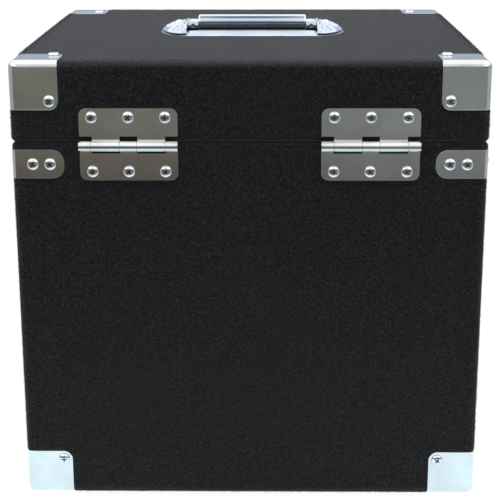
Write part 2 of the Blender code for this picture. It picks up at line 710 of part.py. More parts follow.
def on_front(x):
    """Return the matrix of a plate on the front face: (across, above the seam, proud)."""
    return axes_to((x, FRONT_Y, SEAM_Z), X_AXIS, Z_AXIS, -Y_AXIS)


def across_front(x):
    """Return the matrix of a profile on the front face: (proud, above the seam, across)."""
    return axes_to((x, FRONT_Y, SEAM_Z), -Y_AXIS, Z_AXIS, X_AXIS)


def front_rod(x, place, half_length, radius):
    """Return a rod along X at a (proud, above the seam) place on the front."""
    return crosswise_rod(x - half_length, x + half_length, FRONT_Y - place[0], SEAM_Z + place[1], radius)


def mounted_plate(x, half_width, low_w, high_w, screws):
    """Return a round-cornered latch plate on the front face, with a screw at each (across, above) place."""
    height = high_w - low_w
    outline = rounded_rectangle(half_width, height / 2, LATCH_PLATE_CORNER)
    matrix = on_front(x)
    middle = Matrix.Translation((0, low_w + height / 2, 0))
    plate = extruded(outline, matrix @ middle, GAP, GAP + LATCH_PLATE)
    for across, above in screws:
        place = matrix @ Vector((across, above, GAP + LATCH_PLATE))
        join(plate, screw_head(place, -Y_AXIS, SMALL_HEAD_RADIUS, SMALL_HEAD_HEIGHT))
    return plate


def latch_base(x):
    """Return a latch's base plate with its two ears."""
    high = -LATCH_PLATE_BELOW_SEAM
    low = high - LATCH_PLATE_HEIGHT
    across = LATCH_PLATE_WIDTH / 2 - LATCH_SCREW_INSET
    rows = (high - LATCH_SCREW_INSET, low + LATCH_SCREW_INSET)
    screws = [(side * across, row) for side in (-1, 1) for row in rows]
    base = mounted_plate(x, LATCH_PLATE_WIDTH / 2, low, high, screws)
    root = GAP + LATCH_PLATE / 2
    ear = arc(LEVER_PIVOT, LATCH_EAR_RADIUS, -1, 1, 2 * CORNER_STEPS)
    outline = [(root, LEVER_PIVOT[1] - LATCH_EAR_RADIUS), *ear, (root, LEVER_PIVOT[1] + LATCH_EAR_RADIUS)]
    for side in (-1, 1):
        spans = sorted((side * LATCH_EAR_INNER, side * (LATCH_EAR_INNER + LATCH_EAR_THICKNESS)))
        join(base, extruded(outline, across_front(x), *spans))
    return cut(base, front_rod(x, LEVER_PIVOT, LEVER_HALF_WIDTH + OVERRUN, LATCH_PIN_RADIUS + BORE_GAP))


def latch_lever(x):
    """Return a latch's lever: a channel with its web outwards, two drilled flanges and a turned-out tip."""
    matrix = across_front(x) @ Matrix.Translation((*LEVER_PIVOT, 0))
    inner = LEVER_WEB_REACH
    outer = inner + LEVER_SHEET
    bend = -(LEVER_LENGTH - LEVER_TIP_LENGTH)
    web_outline = [
        (inner, -LEVER_WEB_START),
        (inner, bend),
        (inner + LEVER_TIP_REACH, -LEVER_LENGTH),
        (outer + LEVER_TIP_REACH, -LEVER_LENGTH),
        (outer, bend),
        (outer, -LEVER_WEB_START),
    ]
    lever = extruded(web_outline, matrix, -LEVER_HALF_WIDTH, LEVER_HALF_WIDTH)
    middle = (inner + outer) / 2
    flange_outline = [
        (middle, -LEVER_WEB_START),
        *arc((0, 0), LEVER_FLANGE_RADIUS, 0, 2, 2 * CORNER_STEPS),
        (-LEVER_FLANGE_RADIUS, -LEVER_FLANGE_STRAIGHT),
        (middle, bend),
    ]
    for side in (-1, 1):
        spans = sorted((side * LEVER_INNER_X, side * LEVER_HALF_WIDTH))
        join(lever, extruded(flange_outline, matrix, *spans))
    reach = LEVER_HALF_WIDTH + OVERRUN
    for place in (LEVER_PIVOT, LOOP_PIVOT):
        cut(lever, front_rod(x, place, reach, LATCH_PIN_RADIUS + BORE_GAP))
    return lever


def loop_path():
    """Return the wire's middle line from one eye to the other, as (across, along) points."""
    length = (Vector(LOOP_BAR) - Vector(LOOP_PIVOT)).length
    bend = LOOP_BEND_RADIUS
    right = arc((LOOP_LEG_X - bend, length - bend), bend, 0, 1, WIRE_BEND_STEPS)
    left = arc((bend - LOOP_LEG_X, length - bend), bend, 1, 2, WIRE_BEND_STEPS)
    return [(LOOP_LEG_X, 0), *right, *left, (-LOOP_LEG_X, 0)]


def wire(points, radius, matrix):
    """Return a round wire bent along (u, v) points in one plane."""
    points = [Vector(point) for point in points]
    bm = bmesh.new()
    rings = []
    for n, point in enumerate(points):
        tangent = (points[min(n + 1, len(points) - 1)] - points[max(n - 1, 0)]).normalized()
        ring = []
        for step in range(WIRE_SIDES):
            angle = math.tau * (step + 0.5) / WIRE_SIDES
            aside = radius * math.cos(angle)
            place = (point.x + tangent.y * aside, point.y - tangent.x * aside, radius * math.sin(angle))
            ring.append(bm.verts.new(place))
        rings.append(ring)
    bridge_rings(bm, rings)
    bmesh.ops.transform(bm, verts=bm.verts, matrix=matrix)
    return to_object(bm)


def latch_loop(x):
    """Return a latch's wire loop with a flattened eye at each end."""
    out, up = (Vector(LOOP_BAR) - Vector(LOOP_PIVOT)).normalized()
    along = Vector((0, -out, up))
    origin = (x, FRONT_Y - LOOP_PIVOT[0], SEAM_Z + LOOP_PIVOT[1])
    loop = wire(loop_path(), LOOP_WIRE_RADIUS, axes_to(origin, X_AXIS, along, X_AXIS.cross(along)))
    for side in (-1, 1):
        low, high = sorted((side * (LOOP_LEG_X - LOOP_WIRE_RADIUS), side * LOOP_OUTER_X))
        join(loop, crosswise_rod(x + low, x + high, origin[1], origin[2], LOOP_EYE_RADIUS, BORE_SIDES))
    return cut(loop, front_rod(x, LOOP_PIVOT, LOOP_OUTER_X + OVERRUN, LATCH_PIN_RADIUS + BORE_GAP))


def latch_keeper(x):
    """Return the keeper on the lid: a plate with an upward hook that holds the loop's bar."""
    low = KEEPER_PLATE_ABOVE_SEAM
    row = LOOP_BAR_ABOVE_SEAM + KEEPER_SCREW_ABOVE_BAR
    screws = [(side * KEEPER_SCREW_SPACING / 2, row) for side in (-1, 1)]
    keeper = mounted_plate(x, KEEPER_PLATE_WIDTH / 2, low, low + KEEPER_PLATE_HEIGHT, screws)
    root = GAP + LATCH_PLATE / 2
    ledge = LOOP_BAR_ABOVE_SEAM - LOOP_WIRE_RADIUS - GAP
    lip_inner = LOOP_BAR_PROUD + LOOP_WIRE_RADIUS + KEEPER_BAR_TRAVEL
    lip_outer = lip_inner + KEEPER_SHEET
    lip_top = LOOP_BAR_ABOVE_SEAM + KEEPER_LIP_RISE
    outline = [
        (root, ledge - KEEPER_SHEET),
        (lip_inner, ledge - KEEPER_SHEET),
        (lip_outer, ledge),
        (lip_outer, lip_top),
        (lip_inner, lip_top),
        (lip_inner, ledge),
        (root, ledge),
    ]
    return join(keeper, extruded(outline, across_front(x), -KEEPER_HALF_WIDTH, KEEPER_HALF_WIDTH))


def build_latches(lid_pivot):
    """Build both draw latches: base and pin on the body, lever, loop, its pin, and the keeper on the lid."""
    for name, side in LEFT_AND_RIGHT:
        x = side * LATCH_X
        lever_place = (x, FRONT_Y - LEVER_PIVOT[0], SEAM_Z + LEVER_PIVOT[1])
        lever_pivot = add_pivot(f"{name}_lever_axis", lever_place)
        loop_place = (x, FRONT_Y - LOOP_PIVOT[0], SEAM_Z + LOOP_PIVOT[1])
        loop_pivot = add_pivot(f"{name}_loop_axis", loop_place, lever_pivot)
        complete(latch_base(x), f"{name}_latch_base", "nickel_plate")
        lever_pin = front_rod(x, LEVER_PIVOT, LEVER_HALF_WIDTH, LATCH_PIN_RADIUS)
        complete(lever_pin, f"{name}_latch_lever_pin", "zinc_steel")
        complete(latch_lever(x), f"{name}_latch_lever", "nickel_plate", lever_pivot)
        loop_pin = front_rod(x, LOOP_PIVOT, LOOP_OUTER_X, LATCH_PIN_RADIUS)
        complete(loop_pin, f"{name}_latch_loop_pin", "zinc_steel", lever_pivot)
        complete(latch_loop(x), f"{name}_latch_loop", "nickel_plate", loop_pivot)
        complete(latch_keeper(x), f"{name}_latch_keeper", "nickel_plate", lid_pivot)


def tip_curve(inset):
    """Return the curved end of the handle's outline, as (x, y) about the lid's middle, from -Y to +Y."""
    reach = (HANDLE_LENGTH - HANDLE_STRAIGHT) / 2 - inset
    half_depth = HANDLE_DEPTH / 2 - inset
    power = 2 / HANDLE_TIP_POWER
    points = []
    for n in range(FAN_STEPS + 1):
        angle = math.pi * (n / FAN_STEPS - 1 / 2)
        along = abs(math.cos(angle)) ** power
        across = math.copysign(abs(math.sin(angle)) ** power, math.sin(angle))
        points.append((HANDLE_STRAIGHT / 2 + reach * along, half_depth * across))
    return points


def handle_plate():
    """Return the plate under the handle, with its two bolt holes."""
    tip = tip_curve(0)
    outline = tip + [(-x, -y) for x, y in tip]
    plate = extruded(outline, Matrix.Translation((0, MIDDLE_Y, 0)), TOP_Z + GAP, PLATE_TOP_Z)
    for _, side in LEFT_AND_RIGHT:
        cut(plate, bolt_hole(side, TOP_Z, PLATE_TOP_Z))
    return plate


def fan_height(share, turn):
    """Return the casting's height over its base, at a share of the way out and a share of the half turn."""
    dome = 1 - share**CASTING_DOME_POWER
    valley = 1 - abs(math.cos(math.pi * CASTING_FLUTES * turn))
    flute = 1 - CASTING_FLUTE_SHARE * valley * share
    return CASTING_RIM + (CASTING_HEIGHT - CASTING_RIM) * dome * flute


def fan_casting():
    """Return the right-hand end casting: a fluted half dome with a flat inner face, its base at Z = 0."""
    edge = tip_curve(CASTING_INSET)
    edge = [(CASTING_START, edge[0][1]), *edge, (CASTING_START, edge[-1][1])]
    last = len(edge) - 1
    bm = bmesh.new()
    middle = bm.verts.new((CASTING_START, 0, fan_height(0, 0)))
    base_middle = bm.verts.new((CASTING_START, 0, 0))
    base = [bm.verts.new((x, y, 0)) for x, y in edge]
    rings = []
    for step in range(1, FAN_RINGS + 1):
        share = step / FAN_RINGS
        ring = []
        for n, (x, y) in enumerate(edge):
            place = (CASTING_START + share * (x - CASTING_START), share * y, fan_height(share, n / last))
            ring.append(bm.verts.new(place))
        rings.append(ring)
    for n in range(last):
        bm.faces.new((middle, rings[0][n], rings[0][n + 1]))
        for one, other in zip(rings, rings[1:]):
            bm.faces.new((one[n], other[n], other[n + 1], one[n + 1]))
        bm.faces.new((rings[-1][n], base[n], base[n + 1], rings[-1][n + 1]))
    bm.faces.new((base_middle, *base))
    bm.faces.new((base_middle, base[0], *[ring[0] for ring in reversed(rings)], middle))
    bm.faces.new((base_middle, middle, *[ring[-1] for ring in rings], base[-1]))
    return to_object(bm)


def end_casting(side):
    """Return one end casting with the pivot's boss and bore and the bolt's counterbore."""
    matrix = Matrix.Translation((0, MIDDLE_Y, CASTING_Z)) @ Matrix.Diagonal((side, 1, 1, 1))
    casting = placed(fan_casting(), matrix)
    low, high = sorted((side * CASTING_START, side * (CASTING_START + CASTING_BOSS_LENGTH)))
    join(casting, crosswise_rod(low, high, HANDLE_AXIS_Y, HANDLE_AXIS_Z, CASTING_BOSS_RADIUS, BORE_SIDES))
    low, high = sorted((side * (CASTING_START - OVERRUN), side * (CASTING_START + HANDLE_PIN_DEPTH + GAP)))
    cut(casting, crosswise_rod(low, high, HANDLE_AXIS_Y, HANDLE_AXIS_Z, HANDLE_PIN_RADIUS + BORE_GAP))
    x = side * BOLT_X
    seat_z = BOLT_SEAT_Z - GAP
    seat = rod((x, MIDDLE_Y, seat_z), (x, MIDDLE_Y, seat_z + CASTING_HEIGHT), BOLT_HEAD_RADIUS + BORE_GAP)
    return cut(casting, bolt_hole(side, CASTING_Z, BOLT_SEAT_Z), seat)


def handle_bolt(side):
    """Return a handle bolt: domed head on the casting, shank down through the lid."""
    profile = [(BOLT_RADIUS, BOLT_END_Z), (BOLT_RADIUS, BOLT_SEAT_Z), (BOLT_HEAD_RADIUS, BOLT_SEAT_Z)]
    for wide, high in HEAD_PROFILE_SHARES:
        profile.append((BOLT_HEAD_RADIUS * wide, BOLT_SEAT_Z + BOLT_HEAD_HEIGHT * high))
    return turned(profile, PIN_SIDES, Matrix.Translation((side * BOLT_X, MIDDLE_Y, 0)))


def handle_nut(side):
    """Return the nut on a handle bolt, under the lid's top panel."""
    x = side * BOLT_X
    low_z = NUT_TOP_Z - NUT_THICKNESS
    nut = rod((x, MIDDLE_Y, low_z), (x, MIDDLE_Y, NUT_TOP_Z), NUT_RADIUS, NUT_SIDES)
    return cut(nut, bolt_hole(side, low_z, NUT_TOP_Z))


def handle_arm(side):
    """Return one arm: a bar from the pivot forwards, bored for the pivot pin and the grip's spigot."""
    nose = (MIDDLE_Y + ARM_NOSE_AHEAD, PLATE_TOP_Z + ARM_NOSE_ABOVE_PLATE)
    outline = arc(nose, ARM_NOSE_RADIUS, -1, 1, 2 * CORNER_STEPS)
    outline += arc((HANDLE_AXIS_Y, HANDLE_AXIS_Z), ARM_HUB_RADIUS, 1, 3, 2 * CORNER_STEPS)
    low, high = sorted((side * ARM_INNER_X, side * ARM_OUTER_X))
    arm = extruded(outline, axes_to((0, 0, 0), Y_AXIS, Z_AXIS, X_AXIS), low, high)
    pin_bore = HANDLE_PIN_RADIUS + BORE_GAP
    cut(arm, crosswise_rod(low - OVERRUN, high + OVERRUN, HANDLE_AXIS_Y, HANDLE_AXIS_Z, pin_bore))
    low, high = sorted((side * (ARM_INNER_X - OVERRUN), side * (GRIP_HALF_LENGTH + GRIP_SPIGOT_LENGTH + GAP)))
    spigot_z = PLATE_TOP_Z + GRIP_SPIGOT_ABOVE_PLATE
    return cut(arm, crosswise_rod(low, high, GRIP_Y, spigot_z, GRIP_SPIGOT_RADIUS + BORE_GAP))


def handle_grip():
    """Return the round bar that the hand holds, with a spigot at each end."""
    reach = GRIP_HALF_LENGTH
    grip = crosswise_rod(-reach, reach, GRIP_Y, GRIP_Z, GRIP_RADIUS, GRIP_SIDES, GRIP_CHAMFER)
    spigot_z = PLATE_TOP_Z + GRIP_SPIGOT_ABOVE_PLATE
    reach += GRIP_SPIGOT_LENGTH
    return join(grip, crosswise_rod(-reach, reach, GRIP_Y, spigot_z, GRIP_SPIGOT_RADIUS))


def build_handle(lid_pivot):
    """Build the folding handle: plate, castings, bolts, nuts, pins on the lid, arms and grip on the pivot."""
    handle_pivot = add_pivot("handle_axis", (0, HANDLE_AXIS_Y, HANDLE_AXIS_Z), lid_pivot)
    complete(handle_plate(), "handle_plate", "polished_chrome", lid_pivot)
    complete(handle_grip(), "handle_grip", "polished_chrome", handle_pivot)
    for name, side in LEFT_AND_RIGHT:
        complete(end_casting(side), f"handle_{name}_end", "polished_chrome", lid_pivot)
        complete(handle_bolt(side), f"handle_{name}_bolt", "polished_chrome", lid_pivot)
        complete(handle_nut(side), f"handle_{name}_nut", "zinc_steel", lid_pivot)
        complete(handle_arm(side), f"handle_{name}_arm", "polished_chrome", handle_pivot)
        low, high = sorted((side * (ARM_INNER_X + GAP), side * (CASTING_START + HANDLE_PIN_DEPTH)))
        pin = crosswise_rod(low, high, HANDLE_AXIS_Y, HANDLE_AXIS_Z, HANDLE_PIN_RADIUS)
        complete(pin, f"handle_{name}_pin", "zinc_steel", lid_pivot)


def main():
    """Build the whole case at rest: lid shut, latches closed, handle folded down."""
    clear_scene()
    lid_pivot = add_pivot("lid_axis", (0, HINGE_Y, HINGE_Z))
    build_body_box()
    build_lid_box(lid_pivot)
    build_feet()
    build_corner_caps("body", BOTTOM_Z, 1)
    build_corner_caps("lid", TOP_Z, -1, lid_pivot)
    build_corner_brackets()
    build_hinges(lid_pivot)
    build_latches(lid_pivot)
    build_handle(lid_pivot)


main()
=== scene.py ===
"""Record carrying case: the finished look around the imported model.

Every length is in metres. +Z is up, the latches face -Y and the hinges +Y. Left and right are as seen by
someone who faces the latches. "Proud" is measured outwards from the carpet's face and "inset" inwards from it.
"""

from __future__ import annotations

import json
import logging
import math
import sys
from dataclasses import dataclass
from enum import Enum
from typing import Any, Callable, Sequence

import bmesh
import bpy
from mathutils import Matrix, Vector, noise

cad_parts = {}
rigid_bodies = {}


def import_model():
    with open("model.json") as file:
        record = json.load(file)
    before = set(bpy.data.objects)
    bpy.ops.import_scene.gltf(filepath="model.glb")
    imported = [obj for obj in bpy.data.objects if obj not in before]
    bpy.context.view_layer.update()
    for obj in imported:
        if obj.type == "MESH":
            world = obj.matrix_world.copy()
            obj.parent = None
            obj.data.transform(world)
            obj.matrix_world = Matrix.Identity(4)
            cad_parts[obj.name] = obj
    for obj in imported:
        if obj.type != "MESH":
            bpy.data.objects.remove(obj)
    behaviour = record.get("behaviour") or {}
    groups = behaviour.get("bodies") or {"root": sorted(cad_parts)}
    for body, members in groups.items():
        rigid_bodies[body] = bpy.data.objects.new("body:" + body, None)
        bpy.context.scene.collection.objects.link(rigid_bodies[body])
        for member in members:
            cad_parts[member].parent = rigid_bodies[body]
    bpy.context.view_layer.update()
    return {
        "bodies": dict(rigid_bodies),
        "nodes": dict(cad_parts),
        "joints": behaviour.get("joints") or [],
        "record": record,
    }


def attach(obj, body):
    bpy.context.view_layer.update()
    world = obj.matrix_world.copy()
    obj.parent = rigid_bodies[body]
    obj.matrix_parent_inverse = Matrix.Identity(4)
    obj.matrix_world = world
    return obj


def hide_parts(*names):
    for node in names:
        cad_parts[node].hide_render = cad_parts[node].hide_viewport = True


LOG = logging.getLogger("record_case")
MM = 0.001
X_AXIS = Vector((1, 0, 0))
Y_AXIS = Vector((0, 1, 0))
Z_AXIS = Vector((0, 0, 1))
SIDES = (("left", -1), ("right", 1))
CORNERS = tuple((f"{end_name}_{side_name}", side, end)
                for end_name, end in (("front", -1), ("back", 1)) for side_name, side in SIDES)
WELD = 0.01 * MM
OVERRUN = 4 * MM
SHARP_ANGLE = math.radians(20)
BEVEL_ANGLE = math.radians(40)

Flat = tuple[float, float]
Triple = tuple[float, float, float]


@dataclass(frozen=True)
class CaseSizes:
    """The main sizes of the case over its carpet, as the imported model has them."""

    width: float = 362 * MM
    depth: float = 353 * MM
    front_y: float = -173.7 * MM
    bottom_z: float = 5.3 * MM
    top_z: float = 358.3 * MM
    seam_z: float = 296.6 * MM
    seam_gap: float = 0.5 * MM
    gap: float = 0.3 * MM
    carpet: float = 2.5 * MM
    edge_radius: float = 4.5 * MM
    turn_in_outer: float = 12.1 * MM
    turn_in: float = 14 * MM
    lining_inset: float = 12.6 * MM
    floor_z: float = 17.1 * MM
    ceiling_z: float = 346.5 * MM

    @property
    def side_x(self) -> float:
        """Return how far each side lies from the middle."""
        return self.width / 2

    @property
    def back_y(self) -> float:
        """Return where the hinged face lies."""
        return self.front_y + self.depth

    @property
    def middle_y(self) -> float:
        """Return the middle of the depth."""
        return self.front_y + self.depth / 2

    def corner(self, side: int, end: int, z: float) -> Vector:
        """Return a vertical edge of the case at a height."""
        return Vector((side * self.side_x, self.middle_y + end * self.depth / 2, z))

    def insets(self, place: Vector, body: bool) -> Triple:
        """Return how far a point lies inside a side, inside the front or back, and from the flat outer face."""
        rise = place.z - self.bottom_z if body else self.top_z - place.z
        return self.side_x - abs(place.x), self.depth / 2 - abs(place.y - self.middle_y), rise


CASE = CaseSizes()


class Slot(Enum):
    """The record's material slots."""

    CARPET = "carpet"
    FOAM = "foam"
    RUBBER = "foot_rubber"
    NICKEL = "nickel"
    CHROME = "handle_chrome"
    ZINC = "zinc_steel"


def operator(operation: str, turned: bool = False) -> Callable[..., Wire]:
    """Return a method that adds one operation of the Math node.

    Args:
        operation: the node's operation.
        turned: put the other value first.

    Returns:
        The method.
    """
    def method(self: Wire, *others: Any) -> Wire:
        """Return the result of the operation on this wire and the others."""
        values = (*others, self) if turned else (self, *others)
        return self.graph.node("ShaderNodeMath", {"operation": operation}, dict(enumerate(values)))

    return method


class Wire:
    """A node's output that Python arithmetic works on."""

    def __init__(self, graph: Graph, socket: bpy.types.NodeSocket) -> None:
        """Keep the socket and the graph that it belongs to."""
        self.graph = graph
        self.socket = socket

    __add__ = __radd__ = operator("ADD")
    __mul__ = __rmul__ = operator("MULTIPLY")
    __sub__ = operator("SUBTRACT")
    __rsub__ = operator("SUBTRACT", turned=True)
    __truediv__ = operator("DIVIDE")
    __pow__ = operator("POWER")
    __gt__ = operator("GREATER_THAN")
    __lt__ = operator("LESS_THAN")
    sine = operator("SINE")
    cosine = operator("COSINE")


class Graph:
    """One node tree under construction."""

    def __init__(self, tree: bpy.types.NodeTree) -> None:
        """Start on an empty tree."""
        self.tree = tree
        tree.nodes.clear()

    def node(self, kind: str, settings: dict[str, Any] | None = None, sockets: dict[Any, Any] | None = None,
             output: int | str = 0) -> Wire:
        """Add a node of any type.

        Args:
            kind: the node's type name.
            settings: its own settings, set first; "stops" holds a ramp's (place, colour) pairs.
            sockets: a value or a wire, or a list of wires, for each input by name or number.
            output: which output to return.

        Returns:
            That output.
        """
        made = self.tree.nodes.new(kind)
        for name, value in (settings or {}).items():
            if name == "stops":
                self._set_stops(made.color_ramp, value)
            else:
                setattr(made, name, value)
        for key, value in (sockets or {}).items():
            for item in value if isinstance(value, list) else [value]:
                if isinstance(item, Wire):
                    self.tree.links.new(item.socket, made.inputs[key])
                else:
                    made.inputs[key].default_value = item
        return Wire(self, made.outputs[output]) if made.outputs else Wire(self, made.inputs[0])

    @staticmethod
    def _set_stops(ramp: bpy.types.ColorRamp, stops: Sequence[tuple[float, Any]]) -> None:
        """Give a colour ramp its stops."""
        while len(ramp.elements) < len(stops):
            ramp.elements.new(1)
        for element, (place, colour) in zip(ramp.elements, stops):
            element.position = place
            element.color = (*colour, 1) if isinstance(colour, tuple) else (colour, colour, colour, 1)

    def blend(self, factor: Any, first: Any, second: Any) -> Wire:
        """Return two colours mixed; each is a wire or an (r, g, b)."""
        colours = [c if isinstance(c, Wire) else (*c, 1) for c in (first, second)]
        return self.node("ShaderNodeMix", {"data_type": "RGBA"}, {0: factor, 6: colours[0], 7: colours[1]}, 2)

    def place(self, scale: Triple = (1, 1, 1)) -> Wire:
        """Return Object coordinates, stretched by a scale."""
        coordinates = self.node("ShaderNodeTexCoord", output="Object")
        return self.node("ShaderNodeMapping", sockets={"Vector": coordinates, "Scale": scale})

    def noise(self, where: Wire, scale: float, detail: float = 3, roughness: float = 0.55) -> Wire:
        """Return a noise value from 0 to 1, mostly near a half."""
        values = {"Vector": where, "Scale": scale, "Detail": detail, "Roughness": roughness}
        return self.node("ShaderNodeTexNoise", None, values)

    def ramp(self, factor: Wire, stops: Sequence[tuple[float, Any]]) -> Wire:
        """Return a colour ramp of a value."""
        return self.node("ShaderNodeValToRGB", {"stops": stops}, {0: factor})

    def part(self, vector: Wire, axis: str) -> Wire:
        """Return the X, Y or Z of a vector."""
        return self.node("ShaderNodeSeparateXYZ", None, {0: vector}, axis)

    def bump(self, height: Wire, distance: float, strength: float = 1.0, normal: Wire | None = None) -> Wire:
        """Return a bumped normal for a height from 0 to 1 that stands for a distance in metres."""
        values = {"Height": height, "Distance": distance, "Strength": strength}
        return self.node("ShaderNodeBump", None, values if normal is None else values | {"Normal": normal})

    def point(self, x: Any, y: Any, z: Any) -> Wire:
        """Return a vector of three values."""
        return self.node("ShaderNodeCombineXYZ", None, {0: x, 1: y, 2: z})

    def painted(self, name: str) -> Wire:
        """Return an attribute of the mesh, to a material."""
        return self.node("ShaderNodeAttribute", {"attribute_name": name}, output="Fac")

    def stored(self, name: str, kind: str = "FLOAT") -> Wire:
        """Return an attribute of the mesh, to Geometry Nodes."""
        return self.node("GeometryNodeInputNamedAttribute", {"data_type": kind}, {"Name": name})


class Finish:
    """A surface finish; a subclass gives its name and its shader."""

    name = "finish"

    def dress(self, graph: Graph) -> dict[str, Any]:
        """Return the Principled shader's inputs."""
        raise NotImplementedError

    def material(self) -> bpy.types.Material:
        """Return the finish's material, made on its first use."""
        if self.name in bpy.data.materials:
            return bpy.data.materials[self.name]
        made = bpy.data.materials.new(self.name)
        made.use_nodes = True
        graph = Graph(made.node_tree)
        shader = graph.node("ShaderNodeBsdfPrincipled", None, self.dress(graph))
        graph.node("ShaderNodeOutputMaterial", None, {"Surface": shader})
        return made


@dataclass(frozen=True)
class CarpetPile(Finish):
    """Short black needle-punched carpet, with a painted highlight along the lid's top edge."""

    name: str = "black_needle_carpet"
    sheen: float = 0.41
    highlight_start: float = 353.4 * MM
    highlight_height: float = 3.0 * MM
    edge_highlight: Triple = (0.110, 0.113, 0.126)

    def dress(self, graph: Graph) -> dict[str, Any]:
        """Return the Principled shader's inputs."""
        where = graph.place()
        tufts = graph.noise(where, 520, 4, 0.7)
        flecks = graph.noise(where, 1500, 2, 0.6)
        wear = graph.noise(where, 9, 4, 0.5)
        shade = graph.ramp(tufts * 0.6 + flecks * 0.4, [
            (0.38, (0.0025, 0.0030, 0.0030)), (0.50, (0.0130, 0.0135, 0.0135)), (0.62, (0.062, 0.063, 0.063))])
        pile_colour = graph.blend(graph.ramp(wear, [(0.35, 0.0), (0.75, 0.3)]), shade, (0.024, 0.0235, 0.0225))
        # painted highlight: high on the lid, where the fuzz attribute marks the top edge, the colour is lightened
        # to stand in for the pile catching the overhead light.
        high = graph.ramp((graph.part(where, "Z") - self.highlight_start) / self.highlight_height, [(0.0, 0.0), (1.0, 1.0)])
        edge_highlight = graph.painted("fuzz") * high * graph.ramp(flecks, [(0.35, 0.45), (0.60, 1.0)])
        pile_colour = graph.blend(edge_highlight, pile_colour, self.edge_highlight)
        height = tufts * 0.65 + flecks * 0.35
        return {
            "Base Color": pile_colour,
            "Roughness": 0.95,
            "Specular IOR Level": 0.15,
            "Sheen Weight": self.sheen,
            "Sheen Roughness": 0.45,
            "Sheen Tint": (0.92, 0.93, 1.0, 1),
            "Normal": graph.bump(height, 2.2 * MM, 1.0),
        }


@dataclass(frozen=True)
class CarpetFibre(Finish):
    """The loose fibre ends that stand out of the carpet."""

    name: str = "carpet_fibre"

    def dress(self, graph: Graph) -> dict[str, Any]:
        """Return the Principled shader's inputs."""
        tone = graph.noise(graph.place(), 700, 1, 0.5)
        shade = graph.ramp(tone, [(0.35, (0.035, 0.037, 0.042)), (0.65, (0.16, 0.165, 0.18))])
        return {"Base Color": shade, "Roughness": 0.6, "Specular IOR Level": 0.4}


@dataclass(frozen=True)
class BirchPly(Finish):
    """Bare birch plywood, laid up along one axis."""

    name: str = "birch_plywood_z"
    axis: str = "Z"
    grain_scale: Triple = (6, 60, 60)
    ply: float = 1.5 * MM

    def dress(self, graph: Graph) -> dict[str, Any]:
        """Return the Principled shader's inputs."""
        where = graph.place(self.grain_scale)
        plain = graph.place()
        figure = graph.noise(where, 1.0, 6, 0.6)
        pores = graph.noise(where, 14, 3, 0.7)
        cloud = graph.noise(plain, 7, 3, 0.5)
        face = graph.ramp(figure * 0.7 + cloud * 0.3, [
            (0.30, (0.36, 0.225, 0.115)), (0.5, (0.46, 0.31, 0.17)), (0.7, (0.55, 0.39, 0.23))])
        layer = (graph.part(plain, self.axis) * (math.pi / self.ply)).sine() > 0
        layered = graph.blend(layer * 0.25, face, (0.24, 0.14, 0.07))
        pored = graph.blend(graph.ramp(pores, [(0.30, 0.5), (0.42, 0.0)]), layered, (0.20, 0.12, 0.06))
        return {
            "Base Color": pored,
            "Roughness": graph.ramp(pores, [(0.3, 0.75), (0.7, 0.52)]),
            "Normal": graph.bump(figure * 0.4 + pores * 0.6, 0.15 * MM, 0.5),
        }


@dataclass(frozen=True)
class Foam(Finish):
    """Dark grey closed-cell foam sheet."""

    name: str = "grey_foam"

    def dress(self, graph: Graph) -> dict[str, Any]:
        """Return the Principled shader's inputs."""
        where = graph.place()
        cells = graph.node("ShaderNodeTexVoronoi", {"feature": "DISTANCE_TO_EDGE"},
                           {"Vector": where, "Scale": 900})
        cloud = graph.noise(where, 30, 4, 0.6)
        shade = graph.blend(cloud, (0.022, 0.022, 0.025), (0.042, 0.042, 0.045))
        pits = graph.ramp(cells, [(0.0, 0.0), (0.25, 1.0)])
        return {
            "Base Color": graph.blend(pits, (0.012, 0.012, 0.013), shade),
            "Roughness": 0.9,
            "Sheen Weight": 0.1,
            "Normal": graph.bump(pits * 0.6 + cloud * 0.4, 0.3 * MM, 0.6),
        }


@dataclass(frozen=True)
class BlackRubber(Finish):
    """Matte moulded rubber."""

    name: str = "black_rubber"

    def dress(self, graph: Graph) -> dict[str, Any]:
        """Return the Principled shader's inputs."""
        where = graph.place()
        bloom = graph.noise(where, 160, 4, 0.6)
        grain = graph.noise(where, 2200, 2, 0.6)
        return {
            "Base Color": graph.blend(bloom, (0.010, 0.010, 0.010), (0.028, 0.028, 0.027)),
            "Roughness": graph.ramp(bloom, [(0.3, 0.62), (0.7, 0.86)]),
            "Normal": graph.bump(grain, 0.08 * MM, 0.5),
        }


